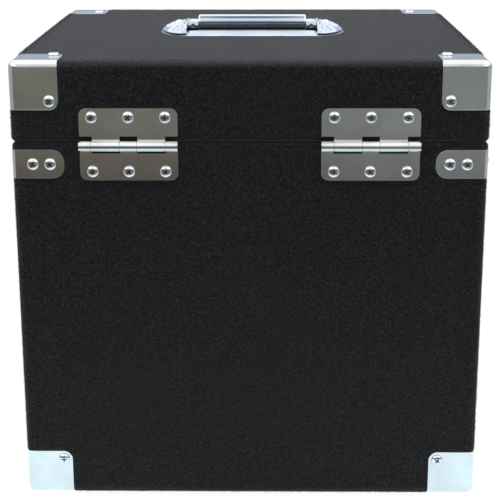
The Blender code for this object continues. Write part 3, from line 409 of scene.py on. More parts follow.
@dataclass(frozen=True)
class PlatedSteel(Finish):
    """Plated sheet metal: a tinted mirror with handling haze, fine brushing and faint press waves."""

    name: str = "nickel_plate"
    light: Triple = (0.72, 0.72, 0.70)
    dark: Triple = (0.64, 0.62, 0.58)
    smooth: float = 0.09
    hazy: float = 0.18
    brush: Triple = (40, 40, 900)
    wave: float = 0.05 * MM
    shade_recess: bool = False

    def dress(self, graph: Graph) -> dict[str, Any]:
        """Return the Principled shader's inputs."""
        where = graph.place()
        cloud = graph.noise(where, 38, 3, 0.5)
        haze = graph.noise(where, 85, 5, 0.6)
        lines = graph.noise(graph.place(self.brush), 1.0, 4, 0.7)
        specks = graph.noise(where, 620, 2, 0.5)
        tint = graph.blend(graph.ramp(cloud, [(0.32, 0.0), (0.68, 1.0)]), self.light, self.dark)
        metal_colour = graph.blend(graph.ramp(specks, [(0.70, 0.0), (0.78, 0.35)]), tint, (0.42, 0.40, 0.36))
        # painted shade: in a screw head's cross recess the colour is pulled towards near-black, for the shade
        # inside the recess.
        if self.shade_recess:
            metal_colour = graph.blend(graph.painted("recess") * 0.85, metal_colour, (0.03, 0.03, 0.035))
        span = self.hazy - self.smooth
        rough = graph.ramp(haze * 0.7 + lines * 0.3, [
            (0.30, self.smooth), (0.55, self.smooth + 0.45 * span), (0.75, self.hazy)])
        waves = graph.bump(graph.noise(where, 22, 2, 0.4), self.wave, 1.0)
        return {
            "Base Color": metal_colour,
            "Metallic": 1.0,
            "Roughness": rough,
            "Normal": graph.bump(lines, 0.004 * MM, 0.6, waves),
        }


@dataclass(frozen=True)
class FieldedPlate(PlatedSteel):
    """Plated metal whose sunken middle field is enamelled black."""

    field: Flat = (57 * MM, 19.4 * MM)
    enamel: Triple = (0.010, 0.010, 0.012)

    def dress(self, graph: Graph) -> dict[str, Any]:
        """Return the Principled shader's inputs."""
        plated = super().dress(graph)
        where = graph.place()
        half_x, half_y = self.field
        off_x = graph.part(where, "X") ** 2
        off_y = (graph.part(where, "Y") - CASE.middle_y) ** 2
        inside = (off_x < half_x**2) * (off_y < half_y**2)
        return plated | {
            "Base Color": graph.blend(inside, plated["Base Color"], self.enamel),
            "Metallic": 1 - inside,
        }


@dataclass(frozen=True)
class Studio:
    """The plain studio: floor, lamp, surroundings and the camera that stands where the photographer stood."""

    lens_px: float = 1363.0
    frame_px: float = 500.0
    sensor_mm: float = 36.0
    camera: Triple = (-0.0148, 1.1927, 0.5058)
    yaw: float = math.radians(0.83)
    pitch: float = math.radians(16.17)
    roll: float = math.radians(0.13)
    clip: Flat = (0.05, 50)
    middle_x: float = 0.014
    floor_half: float = 8.0
    floor_reach: float = 4
    near_floor: Triple = (1.09, 1.37, 1.55)
    lamp_place: Triple = (0, 0.1, 1.7)
    lamp_size: float = 1.6
    lamp_power: float = 20.0

    def build(self) -> None:
        """Set the stage."""
        bpy.context.scene.view_settings.view_transform = "Standard"
        self._camera()
        self._floor()
        self._lamp()
        self._world()
        LOG.info("studio: camera, floor, lamp and world")

    def _camera(self) -> None:
        """Put the camera in the photographer's place."""
        ahead = Vector((math.sin(self.yaw) * math.cos(self.pitch), -math.cos(self.yaw) * math.cos(self.pitch),
                        -math.sin(self.pitch)))
        level = ahead.cross(Z_AXIS).normalized()
        below = ahead.cross(level)
        right = math.cos(self.roll) * level + math.sin(self.roll) * below
        down = math.cos(self.roll) * below - math.sin(self.roll) * level
        data = bpy.data.cameras.new("camera")
        data.sensor_width = self.sensor_mm
        data.lens = self.lens_px / self.frame_px * self.sensor_mm
        data.clip_start, data.clip_end = self.clip
        camera = link("camera", data)
        camera.matrix_world = axes_to(self.camera, right, -down, -ahead)
        bpy.context.scene.camera = camera

    def _floor(self) -> None:
        """Lay the floor: white to the camera but for a soft shadow, dimming away from the case in metal, and with
        a painted pool of light near the case for the light that it bounces.
        """
        mesh = bpy.data.meshes.new("floor")
        half = self.floor_half
        corners = [(-half, -half, 0), (half, -half, 0), (half, half, 0), (-half, half, 0)]
        mesh.from_pydata(corners, [], [(0, 1, 2, 3)])
        floor = link("floor", mesh)
        made = bpy.data.materials.new("pale_floor")
        made.use_nodes = True
        graph = Graph(made.node_tree)
        where = graph.place()
        across, along = graph.part(where, "X"), graph.part(where, "Y")
        reach = (across ** 2 + along ** 2) ** 0.5
        far = reach / self.floor_reach
        dim = graph.ramp(far, [
            (0.090, self.near_floor), (0.145, (0.30, 0.29, 0.28)), (0.200, (0.170, 0.155, 0.145)),
            (0.325, (0.115, 0.100, 0.090)), (0.360, (0.140, 0.122, 0.110)), (0.445, (0.215, 0.225, 0.205)),
            (0.600, (0.205, 0.215, 0.180)), (1.0, (0.24, 0.245, 0.24))])
        cool = graph.ramp(across + 0.5, [(0.22, 0.12), (0.62, 0.0)])
        sector = graph.ramp(along / reach * 0.5 + 0.5, [(0.775, 0.0), (0.85, 1.0)])
        pale = graph.ramp(far, [
            (0.090, self.near_floor), (0.200, (0.60, 0.65, 0.70)), (0.5, (0.45, 0.5, 0.53))])
        seen = graph.blend(sector, pale, graph.blend(cool, dim, (0.75, 0.9, 1.1)))
        # painted pool of light: to bounced rays the floor is pale next to the case and dark further off, so more
        # light comes back up onto the case's lower faces.
        bounce_pool = graph.ramp(far, [(0.09, 0.95), (0.2, 0.3)])
        paint = graph.node("ShaderNodeBsdfDiffuse", None, {"Color": bounce_pool})
        lit = graph.node("ShaderNodeBsdfDiffuse", None, {"Color": (0.16, 0.16, 0.16, 1)})
        glow = graph.node("ShaderNodeEmission", None, {"Color": (1, 1, 1, 1), "Strength": 0.97})
        to_camera = graph.node("ShaderNodeAddShader", None, {0: lit, 1: glow})
        to_metal = graph.node("ShaderNodeEmission", None, {"Color": seen})
        shader = paint
        for ray, view in (("Is Camera Ray", to_camera), ("Is Glossy Ray", to_metal)):
            path = graph.node("ShaderNodeLightPath", output=ray)
            shader = graph.node("ShaderNodeMixShader", None, {0: path, 1: shader, 2: view})
        graph.node("ShaderNodeOutputMaterial", None, {"Surface": shader})
        mesh.materials.append(made)

    def _lamp(self) -> None:
        """Hang the big soft lamp over the case."""
        data = bpy.data.lights.new("overhead_softbox", "AREA")
        data.shape = "SQUARE"
        data.size = self.lamp_size
        data.energy = self.lamp_power
        lamp = link("overhead_softbox", data)
        lamp.location = self.lamp_place
        lamp.visible_glossy = False
        lamp.visible_camera = False

    def _world(self) -> None:
        """Surround the case: white to the camera, a soft even light, and the room that metal mirrors."""
        world = bpy.data.worlds.new("studio")
        bpy.context.scene.world = world
        world.use_nodes = True
        graph = Graph(world.node_tree)
        camera_ray = graph.node("ShaderNodeLightPath", output="Is Camera Ray")
        glossy_ray = graph.node("ShaderNodeLightPath", output="Is Glossy Ray")
        facing = graph.node("ShaderNodeTexCoord", output="Generated")
        rise = graph.part(facing, "Z")
        depth = graph.part(facing, "Y") * 0.5 + 0.5
        front = graph.ramp(rise, [
            (0.0, (0.12, 0.12, 0.13)), (0.20, (0.11, 0.12, 0.14)), (0.34, (1.35, 1.42, 1.5)),
            (1.0, (1.6, 1.6, 1.6))])
        behind = graph.ramp(rise, [
            (0.0, (0.42, 0.48, 0.54)), (0.15, (0.45, 0.51, 0.63)), (0.28, (0.50, 0.59, 0.84)),
            (0.36, (0.55, 0.64, 0.88)), (0.43, (1.45, 1.5, 1.6)), (1.0, (1.5, 1.5, 1.5))])
        flank = graph.ramp(rise, [
            (0.0, (0.33, 0.36, 0.36)), (0.25, (0.38, 0.43, 0.43)), (0.50, (0.46, 0.51, 0.53)),
            (0.72, (0.62, 0.69, 0.72)), (0.89, (1.0, 1.06, 1.08)), (1.0, (1.4, 1.4, 1.4))])
        over = graph.ramp(depth, [
            (0.0, (1.3, 1.5, 1.6)), (0.12, (1.2, 1.4, 1.5)), (0.29, (0.75, 0.95, 1.0)),
            (0.35, (0.55, 0.75, 0.85)), (0.39, (0.01, 0.05, 0.07)), (0.60, (0.01, 0.04, 0.07)),
            (0.66, (0.28, 0.30, 0.45)), (0.74, (0.66, 0.69, 0.98)), (0.80, (0.76, 0.78, 1.08)), (0.894, (0.66, 0.85, 1.15)),
            (0.950, (0.42, 0.60, 0.80)), (0.985, (0.10, 0.12, 0.16)), (1.0, (0.06, 0.08, 0.11))])
        across = ((graph.part(facing, "X") - self.middle_x) * 5) ** 2
        narrow = graph.ramp(across, [(0.050, 1.0), (0.065, 0.0)])
        wide = graph.ramp(across, [(0.42, 0.0), (0.50, 1.0), (0.82, 1.0), (0.92, 0.0)])
        side = graph.ramp(depth, [(0.70, 0.0), (0.82, 1.0)])
        room = graph.blend(side, behind, graph.blend(wide, front, flank))
        room = graph.blend(narrow, room, over)
        seen = graph.blend(glossy_ray, (0.27, 0.28, 0.29), room)
        colour = graph.blend(camera_ray, seen, (1.0, 1.0, 1.0))
        graph.node("ShaderNodeOutputWorld", None, {
            "Surface": graph.node("ShaderNodeBackground", None, {"Color": colour, "Strength": 1.0})})


def link(name: str, data: Any) -> bpy.types.Object:
    """Return a new object in the scene."""
    made = bpy.data.objects.new(name, data)
    bpy.context.scene.collection.objects.link(made)
    return made


def limited(value: float, low: float = 0, high: float = 1) -> float:
    """Return a value kept between two limits."""
    return min(max(value, low), high)


def span(side: int, near: float, far: float) -> Flat:
    """Return the low and the high end of a stretch from near to far on one side of the middle."""
    low, high = sorted((side * near, side * far))
    return low, high


def arc(centre: Flat, radius: float, start: float, end: float, steps: int = 8) -> list[Flat]:
    """Return points on an arc.

    Args:
        centre: the arc's centre.
        radius: its radius.
        start: where it starts, in quarter turns.
        end: where it ends, in quarter turns.
        steps: how many steps it is made of.

    Returns:
        The points, both ends included.
    """
    angles = [(start + (end - start) * n / steps) * math.pi / 2 for n in range(steps + 1)]
    return [(centre[0] + radius * math.cos(a), centre[1] + radius * math.sin(a)) for a in angles]


def rounded_rectangle(half_u: float, half_v: float, radius: float) -> list[Flat]:
    """Return the outline of a rectangle with round corners, anticlockwise."""
    points: list[Flat] = []
    for n, (su, sv) in enumerate(((1, 1), (-1, 1), (-1, -1), (1, -1))):
        points += arc((su * (half_u - radius), sv * (half_v - radius)), radius, n, n + 1)
    return points


def axes_to(origin: Any, first: Vector, second: Vector, third: Vector) -> Matrix:
    """Return the matrix that takes local X, Y and Z to three directions at a place."""
    matrix = Matrix((first, second, third)).transposed().to_4x4()
    matrix.translation = origin
    return matrix


def spread(low: float, high: float, step: float) -> list[float]:
    """Return evenly spaced values from low to high, both included, at most a step apart."""
    count = max(1, math.ceil((high - low) / step))
    return [low + (high - low) * n / count for n in range(count + 1)]


def outside(u: float, v: float, end_u: float, end_v: float, radius: float) -> float:
    """Return how far a point lies beyond a rectangle from (0, 0) whose far corner is round, negative inside."""
    return math.hypot(max(u - end_u + radius, 0), max(v - end_v + radius, 0)) - radius


class Solid:
    """A piece's mesh, gathered shell by shell."""

    def __init__(self, name: str) -> None:
        """Start an empty mesh under the piece's name."""
        self.name = name
        self.bm = bmesh.new()

    def rings(self, rings: Sequence[Sequence[Any]], matrix: Matrix | None = None,
              round_trip: bool = False) -> Solid:
        """Skin a row of rings with as many points each.

        Args:
            rings: the rings of points.
            matrix: where the shell goes.
            round_trip: join the last ring to the first, instead of capping both.

        Returns:
            The solid itself.
        """
        made = [[self.bm.verts.new(point) for point in ring] for ring in rings]
        pairs = list(zip(made, made[1:]))
        if round_trip:
            pairs.append((made[-1], made[0]))
        faces = []
        for one, other in pairs:
            for n in range(len(one)):
                after = (n + 1) % len(one)
                faces.append(self.bm.faces.new((one[n], one[after], other[after], other[n])))
        if not round_trip:
            faces += [self.bm.faces.new(made[0]), self.bm.faces.new(made[-1])]
        bmesh.ops.recalc_face_normals(self.bm, faces=faces)
        if matrix is not None:
            bmesh.ops.transform(self.bm, verts=[v for ring in made for v in ring], matrix=matrix)
        return self

    def extrude(self, outline: Sequence[Flat], matrix: Matrix, low: float, high: float) -> Solid:
        """Add an outline of (u, v) points, extruded along local Z from low to high."""
        return self.rings([[(u, v, w) for u, v in outline] for w in (low, high)], matrix)

    def lathe(self, profile: Sequence[Flat], matrix: Matrix, sides: int = 48) -> Solid:
        """Add a solid turned about local Z from (radius, height) points."""
        rings = []
        for radius, height in profile:
            angles = [math.tau * (n + 0.5) / sides for n in range(sides)]
            rings.append([(radius * math.cos(a), radius * math.sin(a), height) for a in angles])
        return self.rings(rings, matrix)

    def rod(self, start: Any, end: Any, radius: float, chamfer: float = 0.0, sides: int = 36) -> Solid:
        """Add a round rod between two points, its ends chamfered."""
        start, end = Vector(start), Vector(end)
        length = (end - start).length
        profile = [(radius - chamfer, 0), (radius, chamfer), (radius, length - chamfer),
                   (radius - chamfer, length)]
        turn = Z_AXIS.rotation_difference(end - start).to_matrix().to_4x4()
        return self.lathe(profile if chamfer else [(radius, 0), (radius, length)],
                          Matrix.Translation(start) @ turn, sides)

    def crossbar(self, ends: Flat, axis: Flat, radius: float, chamfer: float = 0.0) -> Solid:
        """Add a round rod along X between two ends, its axis at a (y, z)."""
        return self.rod((ends[0], *axis), (ends[1], *axis), radius, chamfer)

    def sleeve(self, outer: Sequence[Flat], axis: Flat, bore: float, matrix: Matrix, low: float,
               high: float) -> Solid:
        """Add an outline extruded from low to high with a round bore through it.

        Args:
            outer: the outline, which the whole axis can see.
            axis: the bore's middle, in the outline's plane.
            bore: the bore's radius.
            matrix: where the shell goes.
            low: where it starts along local Z.
            high: where it ends.

        Returns:
            The solid itself.
        """
        inner = []
        for u, v in outer:
            reach = math.hypot(u - axis[0], v - axis[1])
            inner.append((axis[0] + (u - axis[0]) * bore / reach, axis[1] + (v - axis[1]) * bore / reach))
        loops = [(outer, low), (outer, high), (inner, high), (inner, low)]
        return self.rings([[(u, v, w) for u, v in loop] for loop, w in loops], matrix, round_trip=True)

    def piece(self, body: str, finish: Finish, slot: Slot, *nodes: str, bevel: float = 0.0,
              sharp: float = SHARP_ANGLE, carve: Solid | None = None) -> bpy.types.Object:
        """Finish the mesh as a piece of the case.

        Args:
            body: the CAD body that it rides on.
            finish: its surface.
            slot: the record's material slot.
            nodes: the CAD nodes that it stands for.
            bevel: how far its sharp edges are broken.
            sharp: the least angle of an edge that stays crisp.
            carve: a solid to take out of it.

        Returns:
            The piece's object.
        """
        made = self._object(self.name)
        if carve is not None:
            tool = carve._object("tool")
            cut = made.modifiers.new("carve", "BOOLEAN")
            cut.solver = "EXACT"
            cut.operation = "DIFFERENCE"
            cut.object = tool
            settle(made)
            bpy.data.objects.remove(tool, do_unlink=True)
        if bevel:
            edge = made.modifiers.new("broken_edges", "BEVEL")
            edge.width = bevel
            edge.segments = 2
            edge.limit_method = "ANGLE"
            edge.angle_limit = BEVEL_ANGLE
            edge.use_clamp_overlap = True
            settle(made)
        return adopt(made, body, finish, slot, *nodes, sharp=sharp)

    def _object(self, name: str) -> bpy.types.Object:
        """Turn the gathered mesh into an object whose faces all look outwards."""
        bmesh.ops.recalc_face_normals(self.bm, faces=self.bm.faces)
        mesh = bpy.data.meshes.new(name)
        self.bm.to_mesh(mesh)
        self.bm.free()
        return link(name, mesh)


def settle(made: bpy.types.Object) -> None:
    """Turn an object's modifiers into plain mesh."""
    graph = bpy.context.evaluated_depsgraph_get()
    mesh = bpy.data.meshes.new_from_object(made.evaluated_get(graph))
    made.modifiers.clear()
    made.data = mesh


def adopt(made: bpy.types.Object, body: str, finish: Finish, slot: Slot, *nodes: str,
          sharp: float = SHARP_ANGLE) -> bpy.types.Object:
    """Give a plain mesh its finish and its place in the frame.

    Args:
        made: the object.
        body: the CAD body that it rides on.
        finish: its surface.
        slot: the record's material slot, not used.
        nodes: the CAD nodes that it stands for.
        sharp: the least angle of an edge that stays crisp.

    Returns:
        The object.
    """
    made.data.materials.clear()
    made.data.materials.append(finish.material())
    made.data.shade_smooth()
    made.data.set_sharp_from_angle(angle=sharp)
    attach(made, body)
    if nodes:
        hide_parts(*nodes)
    LOG.info("%s: %d faces on %s", made.name, len(made.data.polygons), body)
    return made


NICKEL = PlatedSteel()
CHROME = PlatedSteel("handle_chrome", (0.84, 0.85, 0.87), (0.80, 0.81, 0.84), 0.035, 0.10,
                     (60, 900, 60), 0.02 * MM)
BRIGHT = PlatedSteel("screw_nickel", (0.78, 0.78, 0.78), (0.72, 0.71, 0.69), 0.14, 0.24,
                     (500, 500, 500), 0.0, True)
CAST = PlatedSteel("handle_casting", (0.60, 0.64, 0.71), (0.52, 0.56, 0.64), 0.16, 0.30,
                   (300, 300, 300), 0.03 * MM)
PLATE = FieldedPlate("handle_plate", (0.70, 0.75, 0.79), (0.58, 0.65, 0.72), 0.34, 0.52,
                     (300, 300, 300), 0.04 * MM)
ZINC = PlatedSteel("zinc_steel", (0.60, 0.61, 0.62), (0.52, 0.53, 0.54), 0.28, 0.45, (300, 300, 300), 0.0)


def open_tree(name: str, sizes: dict[str, float]) -> tuple[bpy.types.NodeTree, Graph, Callable[[str], Wire]]:
    """Start a Geometry Nodes tree that has a geometry, sizes, a seed and a finish as inputs.

    Args:
        name: the tree's name.
        sizes: the default of each size by name.

    Returns:
        The tree, its graph and a function that gives an input by name.
    """
    tree = bpy.data.node_groups.new(name, "GeometryNodeTree")
    graph = Graph(tree)
    tree.interface.new_socket("Geometry", in_out="INPUT", socket_type="NodeSocketGeometry")
    for size, value in sizes.items():
        tree.interface.new_socket(size, in_out="INPUT", socket_type="NodeSocketFloat").default_value = value
    tree.interface.new_socket("Seed", in_out="INPUT", socket_type="NodeSocketInt")
    tree.interface.new_socket("Finish", in_out="INPUT", socket_type="NodeSocketMaterial")
    tree.interface.new_socket("Geometry", in_out="OUTPUT", socket_type="NodeSocketGeometry")
    entry = tree.nodes.new("NodeGroupInput")
    return tree, graph, lambda key: Wire(graph, entry.outputs[key])


def close_tree(graph: Graph, inputs: Callable[[str], Wire], points: Wire, shape: Wire, aim: Wire, twist: Wire,
               size: Wire) -> None:
    """Put a shape on points, make the copies real, give them their material and end the tree.

    Args:
        graph: the tree under construction.
        inputs: gives a named input of the tree.
        points: where the copies go.
        shape: what is copied.
        aim: each copy's rotation.
        twist: a turn about the copy's own axes that comes on top, in radians.
        size: each copy's scale.
    """
    turn = graph.node("FunctionNodeEulerToRotation", None, {0: twist})
    turned = graph.node("FunctionNodeRotateRotation", {"rotation_space": "LOCAL"}, {0: aim, 1: turn})
    copies = graph.node("GeometryNodeInstanceOnPoints", None, {
        "Points": points, "Instance": shape, "Rotation": turned, "Scale": size})
    real = graph.node("GeometryNodeRealizeInstances", None, {0: copies})
    done = graph.node("GeometryNodeSetMaterial", None, {"Geometry": real, "Material": inputs("Finish")})
    graph.node("NodeGroupOutput", None, {0: done})


@dataclass
class ScrewSpot:
    """Where one screw head sits."""

    place: Vector
    facing: Vector
    size: float


@dataclass
class CrossHeadScrews:
    """Domed cross-head screws, made by one Geometry Nodes tree and gathered per body."""

    head_radius: float = 4.65 * MM
    head_height: float = 2.3 * MM
    sink: float = 0.35 * MM
    dome_power: float = 2.3
    dome_share: float = 0.75
    weld: float = 0.004 * MM
    recess_reach: float = 2.3 * MM
    recess_width: float = 1.05 * MM
    recess_depth: float = 1.4 * MM
    sides: int = 40
    rows: int = 16
    seed: int = 7

    def __post_init__(self) -> None:
        """Start with no screws."""
        self.spots: dict[str, list[ScrewSpot]] = {}

    def add(self, body: str, place: Any, facing: Any, size: float = 1.0) -> None:
        """Note one screw on a body."""
        self.spots.setdefault(body, []).append(ScrewSpot(Vector(place), Vector(facing), size))

    def _head(self, graph: Graph, inputs: Callable[[str], Wire]) -> Wire:
        """Return the geometry of one head, its cross recess cut out.

        Args:
            graph: the tree under construction.
            inputs: gives a named input of the tree.

        Returns:
            The head's geometry.
        """
        sheet = graph.node("GeometryNodeMeshGrid", None, {
            "Size X": 1.0, "Size Y": 1.0, "Vertices X": self.sides + 1, "Vertices Y": self.rows + 1})
        spot = graph.node("GeometryNodeInputPosition")
        turn = (0.5 - graph.part(spot, "X")) * math.tau
        share = graph.part(spot, "Y") + 0.5
        on_dome = share < self.dome_share + 0.01
        angle = share * (math.pi / 2 / self.dome_share)
        flat = graph.node("ShaderNodeClamp", None, {0: angle, 1: 0.0, 2: math.pi / 2})
        wide, high = [graph.node("ShaderNodeClamp", None, {0: value, 1: 0.0, 2: 1.0}) ** (2 / self.dome_power)
                      for value in (flat.sine(), flat.cosine())]
        under = (1 - share) / (1 - self.dome_share)
        radius = inputs("Head Radius") * (on_dome * wide + (1 - on_dome) * under)
        height = inputs("Head Height") * (on_dome * high) - inputs("Sink") * (1 - on_dome)
        point = graph.point(radius * turn.cosine(), radius * turn.sine(), height)
        shaped = graph.node("GeometryNodeSetPosition", None, {"Geometry": sheet, "Position": point})
        head = graph.node("GeometryNodeMergeByDistance", None, {"Geometry": shaped, "Distance": self.weld})
        reach, width, depth = inputs("Recess Reach") * 2, inputs("Recess Width"), inputs("Recess Depth") * 2
        tools = []
        for size in ((reach, width, depth), (width, reach, depth)):
            block = graph.node("GeometryNodeMeshCube", None, {"Size": graph.point(*size)})
            lift = graph.point(0.0, 0.0, inputs("Head Height"))
            lifted = graph.node("GeometryNodeTransform", None, {"Geometry": block, "Translation": lift})
            tools.append(graph.node("GeometryNodeStoreNamedAttribute", {"data_type": "FLOAT", "domain": "FACE"}, {
                "Geometry": lifted, "Name": "recess", "Value": 1.0}))
        cut = graph.node("GeometryNodeMeshBoolean", {"operation": "DIFFERENCE", "solver": "EXACT"},
                         {0: head, 1: tools})
        return graph.node("GeometryNodeSetShadeSmooth", None, {"Geometry": cut, "Shade Smooth": True})

    def _tree(self) -> bpy.types.NodeTree:
        """Return the tree that puts a head on every vertex of a mesh."""
        tree, graph, inputs = open_tree("cross_head_screws", {
            "Head Radius": self.head_radius, "Head Height": self.head_height, "Sink": self.sink,
            "Recess Reach": self.recess_reach, "Recess Width": self.recess_width,
            "Recess Depth": self.recess_depth})
        facing = graph.stored("facing", "FLOAT_VECTOR")
        upright = graph.node("FunctionNodeAlignRotationToVector", {"axis": "Z"}, {"Vector": facing})
        spin = graph.node("FunctionNodeRandomValue", {"data_type": "FLOAT"}, {
            2: 0.0, 3: math.tau, "Seed": inputs("Seed")}, 1)
        close_tree(graph, inputs, inputs("Geometry"), self._head(graph, inputs), upright,
                   graph.point(0.0, 0.0, spin), graph.stored("size"))
        return tree

    def build(self) -> None:
        """Make one mesh of screw heads for each body."""
        tree = self._tree()
        for body, spots in self.spots.items():
            mesh = bpy.data.meshes.new(f"{body}_screw_heads")
            mesh.from_pydata([spot.place for spot in spots], [], [])
            facing = mesh.attributes.new("facing", "FLOAT_VECTOR", "POINT")
            facing.data.foreach_set("vector", [c for spot in spots for c in spot.facing])
            size = mesh.attributes.new("size", "FLOAT", "POINT")
            size.data.foreach_set("value", [spot.size for spot in spots])
            made = link(mesh.name, mesh)
            use_tree(made, tree, {"Seed": self.seed, "Finish": BRIGHT.material()})
            adopt(made, body, BRIGHT, Slot.NICKEL, sharp=math.radians(35))


def use_tree(made: bpy.types.Object, tree: bpy.types.NodeTree, values: dict[str, Any]) -> None:
    """Run a Geometry Nodes tree on an object and keep the result as plain mesh.

    Args:
        made: the object.
        tree: the tree.
        values: a value for each named input that isn't left at its default.
    """
    nodes = made.modifiers.new("nodes", "NODES")
    nodes.node_group = tree
    for item in tree.interface.items_tree:
        if item.item_type == "SOCKET" and item.in_out == "INPUT" and item.name in values:
            nodes[item.identifier] = values[item.name]
    settle(made)


@dataclass
class Carpets:
    """The carpet that wraps each half, turned over its rim and down inside."""

    caps: CornerCaps
    brackets: CornerBrackets
    cell: float = 3.4 * MM
    fine_cell: float = 1.2 * MM
    outer_roll: float = 3.0 * MM
    inner_roll: float = 1.5 * MM
    tight_radius: float = 0.4 * MM
    edge_angles: Triple = (45, 30, 15)
    unevenness: float = 0.12 * MM
    lump_scales: Flat = (210, 470)
    lean: float = 1.1
    press: float = 1.2 * MM
    press_start: float = 0.7 * MM
    press_width: float = 1.1 * MM
    fuzz_band: Flat = (3.0 * MM, 7.0 * MM)
    fuzz_share: float = 0.02
    lid_density: float = 3.4e6
    body_density: float = 1.5e6
    fibre_length: float = 1.6 * MM
    fibre_radius: float = 0.10 * MM
    seed: int = 11

    def build(self) -> None:
        """Make both carpets and their loose fibres."""
        half = CASE.seam_gap / 2
        fibres = self._fibre_tree()
        for body, flat_z, rim_z, up, density in (
                ("body", CASE.bottom_z, CASE.seam_z - half, 1, self.body_density),
                ("lid", CASE.top_z, CASE.seam_z + half, -1, self.lid_density)):
            cover = self._carpet(body, flat_z, rim_z, up)
            fuzz = link(f"{body}_carpet_fuzz", cover.data.copy())
            use_tree(fuzz, fibres, {"Density": density, "Seed": self.seed, "Finish": CarpetFibre().material()})
            adopt(fuzz, body, CarpetFibre(), Slot.CARPET)

    def _fibre_tree(self) -> bpy.types.NodeTree:
        """Return the tree that scatters loose fibre ends over a carpet by its fuzz attribute."""
        tree, graph, inputs = open_tree("loose_fibres", {
            "Density": self.lid_density, "Length": self.fibre_length, "Radius": self.fibre_radius})
        points = graph.node("GeometryNodeDistributePointsOnFaces", None, {
            "Mesh": inputs("Geometry"), "Density": inputs("Density") * graph.stored("fuzz"),
            "Seed": inputs("Seed")}, "Points")
        fibre = graph.node("GeometryNodeMeshCone", {"fill_type": "NGON"}, {
            "Vertices": 3, "Radius Top": 0.0, "Radius Bottom": inputs("Radius"), "Depth": inputs("Length")})
        lean = graph.node("FunctionNodeRandomValue", {"data_type": "FLOAT_VECTOR"}, {
            0: (-self.lean, -self.lean, -math.pi), 1: (self.lean, self.lean, math.pi), "Seed": inputs("Seed")})
        size = graph.node("FunctionNodeRandomValue", {"data_type": "FLOAT"}, {
            2: 0.5, 3: 1.3, "Seed": inputs("Seed") + 1}, 1)
        aim = Wire(graph, points.socket.node.outputs["Rotation"])
        close_tree(graph, inputs, points, fibre, aim, lean, size)
        return tree

    def _marks(self, low: float, high: float, zones: Sequence[Flat]) -> list[float]:
        """Return stations from low to high, close together inside the zones.

        Args:
            low: where they start.
            high: where they end.
            zones: the (low, high) of each stretch that needs a fine grid, in order and apart.

        Returns:
            The stations, both ends included.
        """
        stations = [low]
        for start, end in zones:
            stations += spread(stations[-1], start, self.cell)[1:] + spread(start, end, self.fine_cell)[1:]
        return stations + spread(stations[-1], high, self.cell)[1:]

    def _stations(self, half: float) -> list[float]:
        """Return grid stations from -half to half, close together where metal presses the carpet."""
        edge = CASE.edge_radius
        bend = [half - edge + edge * math.tan(math.radians(angle)) for angle in (15, 30)] + [half]
        near, far = self.caps.leg - self.caps.free_radius, self.brackets.leg + 2 * self.press_start
        flat = self._marks(edge - half, half - edge, ((near - half, far - half), (half - far, half - near)))
        return [-b for b in reversed(bend)] + flat + bend

    def _heights(self, length: float, body: bool) -> list[float]:
        """Return the stations up the sides, measured from the flat face."""
        zones = [(self.caps.leg - self.caps.free_radius, self.caps.leg + 2 * self.press_start)]
        if body:
            middle, half = self.brackets.middle_z - CASE.bottom_z, self.brackets.height / 2 + self.press_start
            zones.append((middle - half, middle + half))
        return self._marks(CASE.edge_radius, length - self.outer_roll, zones)

    def _under_metal(self, place: Vector, body: bool) -> float:
        """Return how far a point of the outer face is pressed in by caps and brackets, from 0 to 1."""
        across, along, rise = CASE.insets(place, body)
        _, middle, most = sorted((across, along, rise))
        caps, brackets = self.caps, self.brackets
        beyond = outside(middle, most, caps.leg, caps.leg, caps.free_radius)
        if body:
            beyond = min(beyond, outside(max(across, along), abs(place.z - brackets.middle_z), brackets.leg,
                                         brackets.height / 2, brackets.end_radius))
        share = limited((self.press_start - beyond) / self.press_width)
        return share * share * (3 - 2 * share)

    def _fuzz(self, place: Vector, body: bool) -> float:
        """Return how thickly loose fibres stand at a point of the outer face, from 0 to 1."""
        inner, outer = self.fuzz_band
        return max(limited((outer - sorted(CASE.insets(place, body))[1]) / (outer - inner)), self.fuzz_share)

    @staticmethod
    def _ring(stations: tuple[list[float], list[float]], inset: float, radius: float, z: float) -> list[Vector]:
        """Return a rounded rectangle of the case's plan through the grid stations.

        Args:
            stations: the stations along X and along Y.
            inset: how far inside the carpet's face it lies.
            radius: its corner radius.
            z: its height.

        Returns:
            The ring, anticlockwise.
        """
        xs, ys = stations
        walk = [(x, ys[0]) for x in xs[:-1]] + [(xs[-1], y) for y in ys[:-1]]
        walk += [(x, ys[-1]) for x in reversed(xs[1:])] + [(xs[0], y) for y in reversed(ys[1:])]
        half_x, half_y = xs[-1], ys[-1]
        ring = []
        for x, y in walk:
            x, y = x * (half_x - inset) / half_x, y * (half_y - inset) / half_y
            core = Vector((limited(x, radius + inset - half_x, half_x - inset - radius),
                           limited(y, radius + inset - half_y, half_y - inset - radius)))
            away = Vector((x, y)) - core
            spot = core + away.normalized() * radius if away.length > 0 else core
            ring.append(Vector((spot.x, CASE.middle_y + spot.y, z)))
        return ring

    def _bent_ring(self, stations: tuple[list[float], list[float]], angle: float, flat_z: float,
                   up: int) -> list[Vector]:
        """Return a ring on the rounded edge between the sides and the flat face.

        Args:
            stations: the stations along X and along Y.
            angle: how far round the edge it lies, in degrees, from 0 at the sides.
            flat_z: the height of the flat face.
            up: 1 for the body and -1 for the lid.

        Returns:
            The ring.
        """
        edge = CASE.edge_radius
        lean = Vector((1, math.tan(math.radians(angle)))).normalized()
        ring = self._ring(stations, 0, edge, flat_z + up * edge * (1 - lean.y))
        for outer, inner in zip(ring, self._ring(stations, edge, WELD, flat_z)):
            away = Vector((outer.x - inner.x, outer.y - inner.y, 0)).normalized()
            outer.x, outer.y = inner.x + away.x * edge * lean.x, inner.y + away.y * edge * lean.x
        return ring

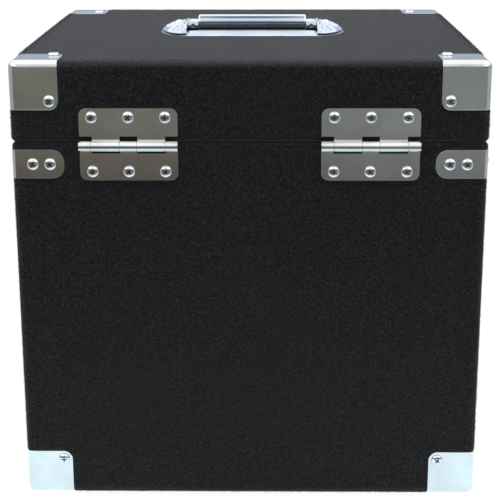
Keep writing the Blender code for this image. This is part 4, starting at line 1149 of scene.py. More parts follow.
    def _carpet(self, body: str, flat_z: float, rim_z: float, up: int) -> bpy.types.Object:
        """Make one half's carpet, from its flat face over the rim and back along the inner face.

        Args:
            body: the body that it rides on.
            flat_z: the height of the flat outer face.
            rim_z: the height of the rim.
            up: 1 for the body and -1 for the lid.

        Returns:
            The carpet.
        """
        edge, tight = CASE.edge_radius, self.tight_radius
        xs, ys = self._stations(CASE.side_x), self._stations(CASE.depth / 2)
        bent = [self._bent_ring((xs, ys), angle, flat_z, up) for angle in self.edge_angles]
        course = [(0, edge, flat_z + up * z) for z in self._heights(abs(rim_z - flat_z), up > 0)]
        outer_rings = len(bent) + len(course)
        roll = self.outer_roll
        course += [(u, max(edge - u, tight), rim_z - up * (roll - v))
                   for u, v in arc((roll, 0), roll, 2, 1, 5)[1:]]
        inner_edge = CASE.turn_in_outer + CASE.carpet
        roll = self.inner_roll
        drops = [(inset, 0.0) for inset in spread(self.outer_roll, inner_edge - roll, self.cell)[1:]]
        drops += [(u, roll - v) for u, v in arc((inner_edge - roll, 0), roll, 1, 0, 4)[1:]]
        drops += [(inner_edge, drop) for drop in spread(roll, CASE.turn_in, self.cell)[1:]]
        soft_rings = len(bent) + len(course) + len(drops)
        drops += [(CASE.turn_in_outer, CASE.turn_in), (CASE.turn_in_outer, CASE.carpet),
                  (CASE.carpet, CASE.carpet)]
        course += [(inset, tight, rim_z - up * drop) for inset, drop in drops]
        course.append((CASE.carpet, tight, flat_z + up * CASE.carpet))
        rings = bent + [self._ring((xs, ys), *place) for place in course]
        bm = bmesh.new()
        fuzz = bm.verts.layers.float.new("fuzz")
        made = [[bm.verts.new(point) for point in ring] for ring in rings]
        around = len(made[0])
        for one, other in zip(made, made[1:]):
            for n in range(around):
                after = (n + 1) % around
                bm.faces.new((one[n], one[after], other[after], other[n]))
        bm.faces.new(made[-1])
        grid = self._flat_face(bm, xs, ys, made[0], flat_z, up)
        bmesh.ops.recalc_face_normals(bm, faces=bm.faces)
        bm.normal_update()
        outer = [v for ring in made[:outer_rings] for v in ring] + grid
        pressed = {}
        for v in outer:
            pressed[v] = self._under_metal(v.co, up > 0)
            # the same fuzz value also marks where the carpet's colour gets its painted edge highlight
            v[fuzz] = self._fuzz(v.co, up > 0) * (1 - pressed[v]) ** 2
        soft = outer + [v for ring in made[outer_rings:soft_rings] for v in ring]
        coarse, fine = self.lump_scales
        for v, normal in [(v, v.normal.copy()) for v in soft]:
            lump = noise.noise(v.co * coarse) + 0.6 * noise.noise(v.co * fine)
            under = pressed.get(v, 0)
            v.co += normal * (self.unevenness * lump * (1 - under) - self.press * under)
        mesh = bpy.data.meshes.new(f"{body}_carpet_cover")
        bm.to_mesh(mesh)
        bm.free()
        cover = link(mesh.name, mesh)
        return adopt(cover, body, CarpetPile(), Slot.CARPET, f"{body}_carpet", sharp=math.radians(60))

    def _flat_face(self, bm: bmesh.types.BMesh, xs: list[float], ys: list[float], rim: list[bmesh.types.BMVert],
                   flat_z: float, up: int) -> list[bmesh.types.BMVert]:
        """Fill the flat outer face with a grid that meets its surrounding ring.

        Args:
            bm: the mesh.
            xs: the stations along X.
            ys: the stations along Y.
            rim: the ring round the face.
            flat_z: the face's height.
            up: 1 for the body and -1 for the lid.

        Returns:
            The vertices inside the ring.
        """
        edge = CASE.edge_radius
        last_x, last_y = len(xs) - 1, len(ys) - 1
        keys = [(i, 0) for i in range(last_x)] + [(last_x, j) for j in range(last_y)]
        keys += [(i, last_y) for i in range(last_x, 0, -1)] + [(0, j) for j in range(last_y, 0, -1)]
        found = dict(zip(keys, rim))
        inside = []
        for i in range(1, last_x):
            for j in range(1, last_y):
                core = Vector((limited(xs[i], edge - xs[-1], xs[-1] - edge),
                               limited(ys[j], edge - ys[-1], ys[-1] - edge), 0))
                away = (Vector((xs[i], ys[j], -edge)) - core).normalized() * edge
                spot = (core.x + away.x, CASE.middle_y + core.y + away.y, flat_z + up * (edge + away.z))
                found[i, j] = bm.verts.new(spot)
                inside.append(found[i, j])
        for i in range(last_x):
            for j in range(last_y):
                bm.faces.new((found[i, j], found[i + 1, j], found[i + 1, j + 1], found[i, j + 1]))
        return inside


@dataclass
class Liners:
    """The foam sheets on the floor and under the lid's top panel."""

    floor_thickness: float = 3.0 * MM
    lid_thickness: float = 8.0 * MM
    corner: float = 2 * MM
    soft_edge: float = 1.0 * MM
    bolt_x: float = 63.5 * MM
    pocket_radius: float = 5.8 * MM

    def build(self) -> None:
        """Make both sheets, the lid's with pockets for the handle's nuts."""
        low = CASE.floor_z + CASE.gap
        self._sheet("floor_pad", "body", low, low + self.floor_thickness, None)
        high = CASE.ceiling_z - CASE.gap
        low = high - self.lid_thickness
        pockets = Solid("pockets")
        for _, side in SIDES:
            x = side * self.bolt_x
            pockets.rod((x, CASE.middle_y, low - OVERRUN), (x, CASE.middle_y, high + OVERRUN),
                        self.pocket_radius)
        self._sheet("lid_pad", "lid", low, high, pockets)

    def _sheet(self, node: str, body: str, low: float, high: float, carve: Solid | None) -> None:
        """Make one sheet.

        Args:
            node: the CAD node that it stands for.
            body: the body that it rides on.
            low: the height of its underside.
            high: the height of its top.
            carve: what is taken out of it.
        """
        half_x, half_y = CASE.side_x - CASE.lining_inset, CASE.depth / 2 - CASE.lining_inset
        outline = rounded_rectangle(half_x, half_y, self.corner)
        sheet = Solid(f"{node}_sheet").extrude(outline, Matrix.Translation((0, CASE.middle_y, 0)), low, high)
        pad = sheet.piece(body, Foam(), Slot.FOAM, node, bevel=self.soft_edge, carve=carve)


@dataclass
class Panels:
    """The plywood, which keeps its CAD shape and gets its grain."""

    nodes: dict[str, bpy.types.Object]

    def build(self) -> None:
        """Dress every panel by the way that it lies."""
        upright_x = BirchPly("birch_plywood_x", "X", (60, 60, 6))
        upright_y = BirchPly("birch_plywood_y", "Y", (60, 60, 6))
        level = BirchPly("birch_plywood_z", "Z", (6, 60, 60))
        finishes = {"left": upright_x, "right": upright_x, "front": upright_y, "back": upright_y}
        for name, node in self.nodes.items():
            if not name.endswith(("_panel", "_rail")):
                continue
            finish = finishes.get(name.split("_")[1], level)
            node.data.materials.clear()
            node.data.materials.append(finish.material())
            LOG.info("%s: %s", name, finish.name)


@dataclass
class Feet:
    """The rubber feet, each with a recess for its screw."""

    screws: CrossHeadScrews
    inset: float = 58 * MM
    height: float = 5 * MM
    top_radius: float = 12 * MM
    bottom_radius: float = 10.5 * MM
    recess_radius: float = 4.5 * MM
    recess_depth: float = 2.5 * MM
    middle_radius: float = 0.2 * MM
    edge: float = 0.8 * MM
    lip: float = 0.4 * MM
    screw_size: float = 0.82

    def build(self) -> None:
        """Make the four feet."""
        low, high, recess, lip = self.bottom_radius, self.top_radius, self.recess_radius, self.lip
        profile = [
            (self.middle_radius, self.recess_depth), (recess - lip, self.recess_depth),
            (recess, self.recess_depth - lip), (recess, lip), (recess + lip, 0), (low - self.edge, 0),
            (low - self.edge * 0.3, self.edge * 0.3), (low, self.edge), (high - lip, self.height - lip),
            (high - lip, self.height),
        ]
        for name, side, end in CORNERS:
            place = CASE.corner(side, end, 0) - Vector((side * self.inset, end * self.inset, 0))
            foot = Solid(f"{name}_foot_moulding").lathe(profile, Matrix.Translation(place))
            foot.piece("body", BlackRubber(), Slot.RUBBER, f"{name}_foot")
            self.screws.add("body", place + Z_AXIS * self.recess_depth, -Z_AXIS, self.screw_size)


@dataclass
class CornerCaps:
    """The pressed corner caps: three faces with rounded edges and a rounded free corner each."""

    screws: CrossHeadScrews
    leg: float = 37 * MM
    sheet: float = 1.2 * MM
    edge_radius: float = 5.6 * MM
    free_radius: float = 7.2 * MM
    cell: float = 2.5 * MM
    screw_inset: float = 6.8 * MM
    rim: float = 0.35 * MM

    def build(self) -> None:
        """Make the eight caps."""
        for body, z, up in (("body", CASE.bottom_z, 1), ("lid", CASE.top_z, -1)):
            for name, side, end in CORNERS:
                matrix = Matrix.Translation(CASE.corner(side, end, z)) @ Matrix.Diagonal((-side, -end, up, 1))
                self._cap(body, f"{body}_{name}_cap", matrix)
                for axis in (X_AXIS, Y_AXIS, Z_AXIS):
                    spot = (Vector((1, 1, 1)) - axis) * (self.leg - self.screw_inset) - axis * CASE.gap
                    self.screws.add(body, matrix @ spot, matrix.to_3x3() @ -axis)

    def _stations(self) -> list[float]:
        """Return the grid's stations along a leg, measured from the outer face."""
        length = self.leg + CASE.gap
        bend = [self.edge_radius * (1 - math.tan(math.radians(7.5 * n))) for n in range(6, -1, -1)]
        flat = spread(self.edge_radius, length - self.free_radius, self.cell)[1:]
        free = [length - self.free_radius + self.free_radius * n / 8 for n in range(1, 9)]
        return bend + flat + free

    def _free_corner(self, u: float, v: float) -> Flat:
        """Pull a point of a face's outer corner in, so that the corner is round."""
        start = self.leg + CASE.gap - self.free_radius
        du, dv = u - start, v - start
        if min(du, dv) <= 0:
            return u, v
        pull = max(du, dv) / math.hypot(du, dv)
        return start + du * pull, start + dv * pull

    def _cap(self, body: str, node: str, matrix: Matrix) -> None:
        """Make one cap.

        Args:
            body: the body that it rides on.
            node: the CAD node that it stands for.
            matrix: takes the cap's corner and legs to the case's corner and edges.
        """
        steps = self._stations()
        count = len(steps)
        solid = Solid(f"{node}_pressing")
        layers: list[dict[Triple, bmesh.types.BMVert]] = [{}, {}]
        quads = []
        for axis in range(3):
            other, third = (axis + 1) % 3, (axis + 2) % 3
            for i in range(count):
                for j in range(count):
                    key = [0, 0, 0]
                    key[other], key[third] = i, j
                    for depth, layer in zip((0.0, self.sheet), layers):
                        if tuple(key) not in layer:
                            spot = [0.0, 0.0, 0.0]
                            spot[other], spot[third] = self._free_corner(steps[i], steps[j])
                            layer[tuple(key)] = solid.bm.verts.new(self._rounded(spot, depth))
                    if i and j:
                        corners = []
                        for di, dj in ((-1, -1), (0, -1), (0, 0), (-1, 0)):
                            near = [0, 0, 0]
                            near[other], near[third] = i + di, j + dj
                            corners.append(tuple(near))
                        quads.append(corners)
        outer, inner = layers
        for quad in quads:
            solid.bm.faces.new([outer[key] for key in quad])
            solid.bm.faces.new([inner[key] for key in reversed(quad)])
        self._close_rim(solid, outer, inner, quads)
        bmesh.ops.recalc_face_normals(solid.bm, faces=solid.bm.faces)
        bmesh.ops.transform(solid.bm, verts=solid.bm.verts, matrix=matrix)
        solid.piece(body, NICKEL, Slot.NICKEL, node, bevel=self.rim)

    def _rounded(self, spot: Sequence[float], depth: float) -> Vector:
        """Return a cube-corner point rounded over, at a depth under the outer face."""
        radius = self.edge_radius
        core = Vector([max(c, radius) for c in spot])
        away = (Vector(spot) - core).normalized()
        return core + away * (radius - depth) - Vector((1, 1, 1)) * CASE.gap

    @staticmethod
    def _close_rim(solid: Solid, outer: dict, inner: dict, quads: list) -> None:
        """Join the outer and the inner layer along their free edges."""
        edges: dict[frozenset, int] = {}
        for quad in quads:
            for n in range(4):
                pair = frozenset((quad[n], quad[(n + 1) % 4]))
                edges[pair] = edges.get(pair, 0) + 1
        for pair, uses in edges.items():
            if uses == 1:
                one, two = tuple(pair)
                solid.bm.faces.new((outer[one], outer[two], inner[two], inner[one]))


@dataclass
class CornerBrackets:
    """The straps folded round the body's vertical edges just under the seam."""

    screws: CrossHeadScrews
    leg: float = 39.8 * MM
    height: float = 22.2 * MM
    below_seam: float = 5.7 * MM
    sheet: float = 1.2 * MM
    bend_radius: float = 4.2 * MM
    end_radius: float = 9.5 * MM
    screw_insets: Flat = (15.8 * MM, 29.0 * MM)
    rim: float = 0.35 * MM

    @property
    def middle_z(self) -> float:
        """Return the height of the strap's middle."""
        return CASE.seam_z - self.below_seam - self.height / 2

    def build(self) -> None:
        """Make the four brackets."""
        for name, side, end in CORNERS:
            corner = CASE.corner(side, end, self.middle_z)
            matrix = Matrix.Translation(corner) @ Matrix.Diagonal((-side, -end, 1, 1))
            solid = Solid(f"{name}_bracket_strap").rings(self._rings(), matrix)
            solid.piece("body", NICKEL, Slot.NICKEL, f"{name}_bracket", bevel=self.rim)
            for inset in self.screw_insets:
                self.screws.add("body", matrix @ Vector((inset, -CASE.gap, 0)), (0, end, 0))
                self.screws.add("body", matrix @ Vector((-CASE.gap, inset, 0)), (side, 0, 0))

    def _rings(self) -> list[list[Triple]]:
        """Return the strap's cross-sections from one end round the bend to the other."""
        centre = self.bend_radius - CASE.gap
        straight = self.leg - centre
        half = self.height / 2
        stations = []
        for s in [straight - self.end_radius * (1 - math.sin(math.pi / 2 * n / 12)) for n in range(12, -1, -1)]:
            stations.append((s, half - self.end_radius + math.sqrt(max(
                self.end_radius**2 - (s - straight + self.end_radius) ** 2, 0))))
        inner = self.bend_radius - self.sheet
        rings = []
        for s, h in stations:
            rings.append(self._section((centre + s, -CASE.gap), (centre + s, self.sheet - CASE.gap), h))
        for u, v in arc((0, 0), 1.0, 3, 2, 9):
            rings.append(self._section((centre + u * self.bend_radius, centre + v * self.bend_radius),
                                       (centre + u * inner, centre + v * inner), half))
        for s, h in reversed(stations):
            rings.append(self._section((-CASE.gap, centre + s), (self.sheet - CASE.gap, centre + s), h))
        return rings

    @staticmethod
    def _section(outer: Flat, inner: Flat, half: float) -> list[Triple]:
        """Return one cross-section of the strap."""
        return [(*outer, -half), (*outer, half), (*inner, half), (*inner, -half)]


@dataclass
class Hinges:
    """The two butt hinges: screwed leaves with curled knuckles, and their pins."""

    screws: CrossHeadScrews
    centre_x: float = 91.6 * MM
    width: float = 75 * MM
    lid_leaf: float = 28.6 * MM
    body_leaf: float = 27.0 * MM
    plate: float = 1.5 * MM
    overlap: float = 0.4 * MM
    sunk: float = 0.02 * MM
    pin_chamfer: float = 0.4 * MM
    axis_proud: float = 4.4 * MM
    axis_z: float = 294.5 * MM
    barrel: float = 4.04 * MM
    bore: float = 2.5 * MM
    pin: float = 2.1 * MM
    fillet: float = 0.35 * MM
    corner: float = 5.5 * MM
    lid_notch: float = 7.0 * MM
    body_notch: float = 6.0 * MM
    screw_inset: float = 7.0 * MM
    screw_spacing: float = 27.8 * MM
    shares: tuple[float, ...] = (0.127, 0.286, 0.174, 0.286, 0.127)
    rim: float = 0.25 * MM

    def build(self) -> None:
        """Make both hinges."""
        spans = self._spans()
        for name, side in SIDES:
            x = side * self.centre_x
            self._leaf(f"{name}_hinge_lid_leaf", "lid", x, 1, self.lid_leaf, self.lid_notch, spans[1::2])
            self._leaf(f"{name}_hinge_body_leaf", "body", x, -1, self.body_leaf, self.body_notch, spans[0::2])
            axis = (CASE.back_y + self.axis_proud, self.axis_z)
            reach = self.width / 2 - CASE.gap / 2
            pin = Solid(f"{name}_hinge_pin_rod")
            pin.crossbar((x - reach, x + reach), axis, self.pin, self.pin_chamfer)
            pin.piece("body", ZINC, Slot.ZINC, f"{name}_hinge_pin")

    def _spans(self) -> list[Flat]:
        """Return the (low, high) of each knuckle along the hinge."""
        spans = []
        low = -self.width / 2
        for share in self.shares:
            high = low + self.width * share
            spans.append((low + CASE.gap / 2, high - CASE.gap / 2))
            low = high
        return spans

    def _plate_outline(self, length: float, notch: float, spans: Sequence[Flat]) -> list[Flat]:
        """Return a leaf's flat part seen square on, from its notches to its free edge."""
        half = self.width / 2 - CASE.gap / 2
        points = arc((half - self.corner, length - self.corner), self.corner, 0, 1)
        points += arc((self.corner - half, length - self.corner), self.corner, 1, 2)
        finger = self.barrel - self.overlap
        points.append((-half, notch))
        for low, high in spans:
            points += [(low, notch), (low, finger), (high, finger), (high, notch)]
        points.append((half, notch))
        return [p for n, p in enumerate(points) if math.dist(p, points[n - 1]) > WELD]

    def _knuckle_outline(self) -> list[Flat]:
        """Return a knuckle's section as (along the leaf, proud): a curl that runs out onto the leaf's face."""
        face = CASE.gap + self.plate
        lift = self.axis_proud - face
        reach = self.barrel + self.fillet
        along = math.sqrt(reach**2 - (lift - self.fillet) ** 2)
        meet = math.atan2(self.fillet - lift, along) / (math.pi / 2)
        points = arc((0, self.axis_proud), self.barrel, -1, -4 + meet, 40)
        points += arc((along, face + self.fillet), self.fillet, 2 + meet, 3, 8)[1:]
        tail, low = along + self.overlap, CASE.gap + self.sunk
        return points + [(tail, face - self.sunk), (tail, low), (self.barrel * 0.5, low)]

    def _leaf(self, node: str, body: str, x: float, up: int, length: float, notch: float,
              spans: Sequence[Flat]) -> None:
        """Make one leaf.

        Args:
            node: the CAD node that it stands for.
            body: the body that it rides on.
            x: the hinge's middle.
            up: 1 where the leaf stands up from the pin, -1 where it hangs down.
            length: how far from the pin the leaf reaches.
            notch: how far from the pin the leaf's edge lies between its fingers.
            spans: the knuckles that belong to this leaf.
        """
        solid = Solid(f"{node}_plate")
        flat = axes_to((x, CASE.back_y, self.axis_z), X_AXIS, up * Z_AXIS, Y_AXIS)
        solid.extrude(self._plate_outline(length, notch, spans), flat, CASE.gap, CASE.gap + self.plate)
        section = axes_to((x, CASE.back_y, self.axis_z), up * Z_AXIS, Y_AXIS, X_AXIS)
        for low, high in spans:
            solid.sleeve(self._knuckle_outline(), (0, self.axis_proud), self.bore, section, low, high)
        solid.piece(body, NICKEL, Slot.NICKEL, node, bevel=self.rim)
        for step in (-1, 0, 1):
            spot = flat @ Vector((step * self.screw_spacing, length - self.screw_inset, CASE.gap + self.plate))
            self.screws.add(body, spot, Y_AXIS)


@dataclass
class Latches:
    """The two draw latches on the front."""

    screws: CrossHeadScrews
    centre_x: float = 93.5 * MM
    plate: float = 1.5 * MM
    plate_half: float = 20 * MM
    plate_high: float = -6.5 * MM
    plate_low: float = -53.0 * MM
    plate_corner: float = 4 * MM
    screw_inset: float = 4.6 * MM
    screw_size: float = 0.76
    pivot: Flat = (7.4 * MM, -14 * MM)
    pin: float = 1.3 * MM
    pin_chamfer: float = 0.3 * MM
    bore: float = 1.7 * MM
    ear_inner: float = 6.0 * MM
    ear_thickness: float = 1.5 * MM
    ear_radius: float = 3.1 * MM
    side_gap: float = 0.5 * MM
    lever_sheet: float = 1.3 * MM
    flange_radius: float = 3.3 * MM
    web_reach: float = 3.6 * MM
    web_start: float = 1.0 * MM
    lever_length: float = 34 * MM
    tip_length: float = 5.5 * MM
    tip_reach: float = 1.8 * MM
    tip_share: float = 0.18
    tip_bends: Triple = (2 * MM, 0.6 * MM, 0.2 * MM)
    flange_straight: float = 18 * MM
    toggle: Flat = (6.565 * MM, -19.942 * MM)
    wire: float = 1.4 * MM
    wire_sides: int = 20
    eye: float = 3.1 * MM
    eye_rim: float = 0.2 * MM
    bend: float = 2.8 * MM
    bar: Flat = (5.0 * MM, 14 * MM)
    keeper_half: float = 17 * MM
    keeper_low: float = 5 * MM
    keeper_high: float = 32 * MM
    keeper_sheet: float = 1.4 * MM
    keeper_row: float = 27 * MM
    keeper_spacing: float = 22 * MM
    travel: float = 1.7 * MM
    lip_rise: float = 1.5 * MM
    lip_share: float = 0.7
    rim: float = 0.25 * MM

    @property
    def lever_inner(self) -> float:
        """Return half the width between the lever's flanges."""
        return self.ear_inner + self.ear_thickness + self.side_gap

    @property
    def lever_half(self) -> float:
        """Return half the lever's width."""
        return self.lever_inner + self.lever_sheet

    @property
    def leg_x(self) -> float:
        """Return how far the loop's legs lie from the middle."""
        return self.lever_half + self.side_gap + self.wire

    def build(self) -> None:
        """Make both latches."""
        for name, side in SIDES:
            for part in (self._base, self._lever, self._loop, self._keeper):
                part(name, side * self.centre_x)

    @staticmethod
    def _profile(x: float) -> Matrix:
        """Return the matrix of a section through the front: (proud, above the seam, across)."""
        return axes_to((x, CASE.front_y, CASE.seam_z), -Y_AXIS, Z_AXIS, X_AXIS)

    def _plate(self, solid: Solid, body: str, x: float, half: float, low: float, high: float,
               screws: Sequence[Flat]) -> None:
        """Add a screwed plate with round corners; the screws are at (across, above the seam)."""
        face = axes_to((x, CASE.front_y, CASE.seam_z), X_AXIS, Z_AXIS, -Y_AXIS)
        middle = Matrix.Translation((0, (low + high) / 2, 0))
        outline = rounded_rectangle(half, (high - low) / 2, self.plate_corner)
        top = CASE.gap + self.plate
        solid.extrude(outline, face @ middle, CASE.gap, top)
        for across, above in screws:
            self.screws.add(body, face @ Vector((across, above, top)), -Y_AXIS, self.screw_size)

    @staticmethod
    def _pair(solid: Solid, outline: Sequence[Flat], matrix: Matrix, near: float, far: float) -> None:
        """Add an outline on both sides of a latch, from near to far from its middle."""
        for _, side in SIDES:
            solid.extrude(outline, matrix, *span(side, near, far))

    def _pin(self, name: str, body: str, node: str, x: float, place: Flat, half: float) -> None:
        """Make a pin across a latch."""
        axis = (CASE.front_y - place[0], CASE.seam_z + place[1])
        pin = Solid(name).crossbar((x - half, x + half), axis, self.pin, self.pin_chamfer)
        pin.piece(body, ZINC, Slot.ZINC, node)

    def _base(self, name: str, x: float) -> None:
        """Make the base plate with its ears, and the lever's pin."""
        solid = Solid(f"{name}_latch_base_plate")
        across = self.plate_half - self.screw_inset
        rows = (self.plate_high - self.screw_inset, self.plate_low + self.screw_inset)
        spots = [(side * across, row) for _, side in SIDES for row in rows]
        self._plate(solid, "body", x, self.plate_half, self.plate_low, self.plate_high, spots)
        root = CASE.gap + self.plate / 2
        level = self.pivot[1]
        ear = [(root, level - self.ear_radius), *arc(self.pivot, self.ear_radius, -1, 1, 20),
               (root, level + self.ear_radius)]
        self._pair(solid, ear, self._profile(x), self.ear_inner, self.ear_inner + self.ear_thickness)
        solid.piece("body", NICKEL, Slot.NICKEL, f"{name}_latch_base", bevel=self.rim)
        self._pin(f"{name}_latch_lever_rivet", "body", f"{name}_latch_lever_pin", x, self.pivot,
                  self.lever_half)

    def _lever(self, name: str, x: float) -> None:
        """Make the lever: a channel with a turned-out tip."""
        matrix = self._profile(x) @ Matrix.Translation((*self.pivot, 0))
        inner, outer = self.web_reach, self.web_reach + self.lever_sheet
        bend, end = self.tip_length - self.lever_length, -self.lever_length
        flick, slight = self.tip_reach, self.tip_reach * self.tip_share
        straight, inside, beyond = self.tip_bends
        web = [(inner, -self.web_start), (inner, bend + straight), (inner + slight, bend - inside),
               (inner + flick, end), (outer + flick, end), (outer + slight, bend - beyond),
               (outer, bend + straight), (outer, -self.web_start)]
        solid = Solid(f"{name}_latch_lever_channel")
        solid.extrude(web, matrix, -self.lever_half, self.lever_half)
        middle = (inner + outer) / 2
        flange = [(middle, -self.web_start), *arc((0, 0), self.flange_radius, 0, 2, 24),
                  (-self.flange_radius, -self.flange_straight), (middle, bend)]
        self._pair(solid, flange, matrix, self.lever_inner, self.lever_half)
        solid.piece(f"{name}_lever", NICKEL, Slot.NICKEL, f"{name}_latch_lever", bevel=self.rim)
        self._pin(f"{name}_latch_loop_rivet", f"{name}_lever", f"{name}_latch_loop_pin", x, self.toggle,
                  self.leg_x + self.wire)

    def _loop(self, name: str, x: float) -> None:
        """Make the wire loop with its flattened eyes."""
        out, up = (Vector(self.bar) - Vector(self.toggle)).normalized()
        length = (Vector(self.bar) - Vector(self.toggle)).length
        along = Vector((0, -out, up))
        origin = Vector((x, CASE.front_y - self.toggle[0], CASE.seam_z + self.toggle[1]))
        frame = axes_to(origin, X_AXIS, along, X_AXIS.cross(along))
        path = [(self.leg_x, 0.0), *arc((self.leg_x - self.bend, length - self.bend), self.bend, 0, 1, 10),
                *arc((self.bend - self.leg_x, length - self.bend), self.bend, 1, 2, 10), (-self.leg_x, 0.0)]
        rings = []
        angles = [math.tau * k / self.wire_sides for k in range(self.wire_sides)]
        for n, (u, v) in enumerate(path):
            after, before = Vector(path[min(n + 1, len(path) - 1)]), Vector(path[max(n - 1, 0)])
            way = (after - before).normalized()
            rings.append([(u + way.y * self.wire * math.cos(a), v - way.x * self.wire * math.cos(a),
                           self.wire * math.sin(a)) for a in angles])
        solid = Solid(f"{name}_latch_loop_wire").rings(rings, frame)
        section = axes_to(origin, Y_AXIS, Z_AXIS, X_AXIS)
        for _, side in SIDES:
            solid.sleeve(arc((0, 0), self.eye, 0, 4, 40)[:-1], (0, 0), self.bore, section,
                         *span(side, self.leg_x - self.wire, self.leg_x + self.wire))
        solid.piece(f"{name}_loop", NICKEL, Slot.NICKEL, f"{name}_latch_loop", bevel=self.eye_rim)

    def _keeper(self, name: str, x: float) -> None:
        """Make the keeper on the lid: a plate with an upward hook."""
        solid = Solid(f"{name}_latch_keeper_hook")
        spots = [(side * self.keeper_spacing / 2, self.keeper_row) for _, side in SIDES]
        self._plate(solid, "lid", x, self.keeper_half, self.keeper_low, self.keeper_high, spots)
        root = CASE.gap + self.plate / 2
        ledge = self.bar[1] - self.wire - CASE.gap
        lip = self.bar[0] + self.wire + self.travel
        sheet, top = self.keeper_sheet, self.bar[1] + self.lip_rise
        outline = [(root, ledge - sheet), (lip, ledge - sheet),
                   (lip + sheet * self.lip_share, ledge - sheet * self.lip_share), (lip + sheet, ledge),
                   (lip + sheet, top), (lip, top), (lip, ledge), (root, ledge)]
        half = self.leg_x - self.bend - CASE.gap
        solid.extrude(outline, self._profile(x), -half, half)
        solid.piece("lid", NICKEL, Slot.NICKEL, f"{name}_latch_keeper", bevel=self.rim)


@dataclass
class Handle:
    """The folding handle: plate, ornate end castings, bolts, arms and grip."""

    length: float = 158 * MM
    depth: float = 67 * MM
    straight: float = 120 * MM
    tip_power: float = 1.6
    plate_low: float = 358.6 * MM
    plate_high: float = 359.8 * MM
    casting_z: float = 360.1 * MM
    casting_x: float = 55.5 * MM
    casting_inset: float = 0.8 * MM
    casting_height: float = 7.0 * MM
    casting_rim: float = 1.2 * MM
    casting_drop: float = 0.5 * MM
    scallops: Flat = (17.5 * MM, 25.0 * MM)
    scallop_half: float = 3.0 * MM
    scallop_depth: float = 1.3 * MM
    plate_relief: float = 0.30 * MM
    border: float = 14 * MM
    rim_rise: float = 1.8 * MM
    rim_back: float = 57 * MM
    rim_front: float = 44 * MM
    rim_fade: float = 4 * MM
    casting_relief: float = 0.9 * MM
    casting_rings: int = 30
    rays: int = 7
    ray_height: float = 0.9 * MM
    band_height: float = 0.7 * MM
    boss_radius: float = 3.4 * MM
    boss_length: float = 8 * MM
    boss_chamfer: float = 0.5 * MM
    seat_radius: float = 4.2 * MM
    seat_height: float = 9 * MM
    hole_radius: float = 1.8 * MM
    hole_depth: float = 2.4 * MM
    bolt_head: float = 3.8 * MM
    bolt_radius: float = 2.0 * MM
    bolt_chamfer: float = 0.4 * MM
    nut_radius: float = 4.6 * MM
    nut_bore: float = 2.4 * MM
    nut_height: float = 3.5 * MM
    nut_rim: float = 0.3 * MM
    pin_radius: float = 1.7 * MM
    pin_depth: float = 6 * MM
    pin_chamfer: float = 0.3 * MM
    hub_bore: float = 2.1 * MM
    arm_rim: float = 0.4 * MM
    nose_ahead: float = 4.5 * MM
    nose_above: float = 4.4 * MM
    grip_round: float = 1.0 * MM
    grip_hold: float = 1.4 * MM
    bolt_x: float = 63.5 * MM
    bolt_seat: float = 364.8 * MM
    bolt_end: float = 341.7 * MM
    bolt_dome: float = 4.0 * MM
    axis_y: float = -20.2 * MM
    axis_z: float = 363.5 * MM
    arm_inner: float = 46.6 * MM
    arm_outer: float = 55.2 * MM
    hub: float = 3.2 * MM
    nose: float = 3.5 * MM
    grip_y: float = 4.8 * MM
    grip_z: float = 366.7 * MM
    grip: float = 6.54 * MM

    def build(self) -> None:
        """Make the whole handle."""
        self._plate()
        for name, side in SIDES:
            self._casting(name, side)
            self._bolt(name, side)
            self._arm(name, side)
        self._grip()

    def tip_curve(self, inset: float, steps: int = 72) -> list[Flat]:
        """Return the curved end of the outline, as (x, y) about the lid's middle, from -Y to +Y."""
        reach = (self.length - self.straight) / 2 - inset
        half = self.depth / 2 - inset
        power = 2 / self.tip_power
        points = []
        for n in range(steps + 1):
            angle = math.pi * (n / steps - 1 / 2)
            along = abs(math.cos(angle)) ** power
            across = math.copysign(abs(math.sin(angle)) ** power, math.sin(angle))
            points.append((self.straight / 2 + reach * along, half * across))
        return points

    def _outline(self) -> list[Flat]:
        """Return the plate's outline, its long edges scalloped in four places."""
        tip = self.tip_curve(0)
        half = self.depth / 2
        notches = []
        for x in spread(-self.straight / 2, self.straight / 2, 0.9 * MM)[1:-1]:
            near = min(abs(abs(x) - place) for place in self.scallops)
            notches.append((x, self.scallop_depth * math.cos(math.pi / 2 * min(near / self.scallop_half, 1))))
        sides = [[(-x * way, (half - depth) * way) for x, depth in notches] for way in (1, -1)]
        return tip + sides[0] + [(-x, -y) for x, y in tip] + sides[1]

    def _plate(self) -> None:
        """Make the plate: a flat field, and a raised border with a soft relief that slopes to the edge."""
        outline = self._outline()
        half = self.depth / 2
        width = self.border
        steps = [(0.0, 1.0), (0.35 * MM, 0.78), (1.0 * MM, 0.68)]
        steps += [(inset, 0.64 * (1 - inset / width) ** 1.2) for inset in spread(1.8 * MM, width, 0.9 * MM)]
        steps += [(width + 0.5 * MM, 0.3), (width + 1.0 * MM, 0.45)]
        rings = [[(x, y, self.plate_low) for x, y in outline]]
        for inset, fall in steps:
            ring = []
            crest = abs(math.sin(math.pi * min(max(inset - 0.5 * MM, 0) / width, 1))) ** 0.6
            climb = self.rim_rise * inset / width if inset <= width else 0.0
            for x, y in outline:
                u, v = x * (1 - inset / (self.length / 2)), y * (1 - inset / half)
                lump = noise.noise(Vector((u, v, 0)) * 300) + 0.5 * noise.noise(Vector((u, v, 1)) * 620)
                reach = self.rim_back if y > 0 else self.rim_front
                rise = climb * limited((reach - abs(u)) / self.rim_fade)
                relief = self.plate_relief * crest * max(lump, 0)
                ring.append((u, v, self.plate_high - fall * MM + rise - relief))
            rings.append(ring)
        solid = Solid("handle_plate_stamping").rings(rings, Matrix.Translation((0, CASE.middle_y, 0)))
        solid.piece("lid", PLATE, Slot.CHROME, "handle_plate", sharp=math.radians(60))

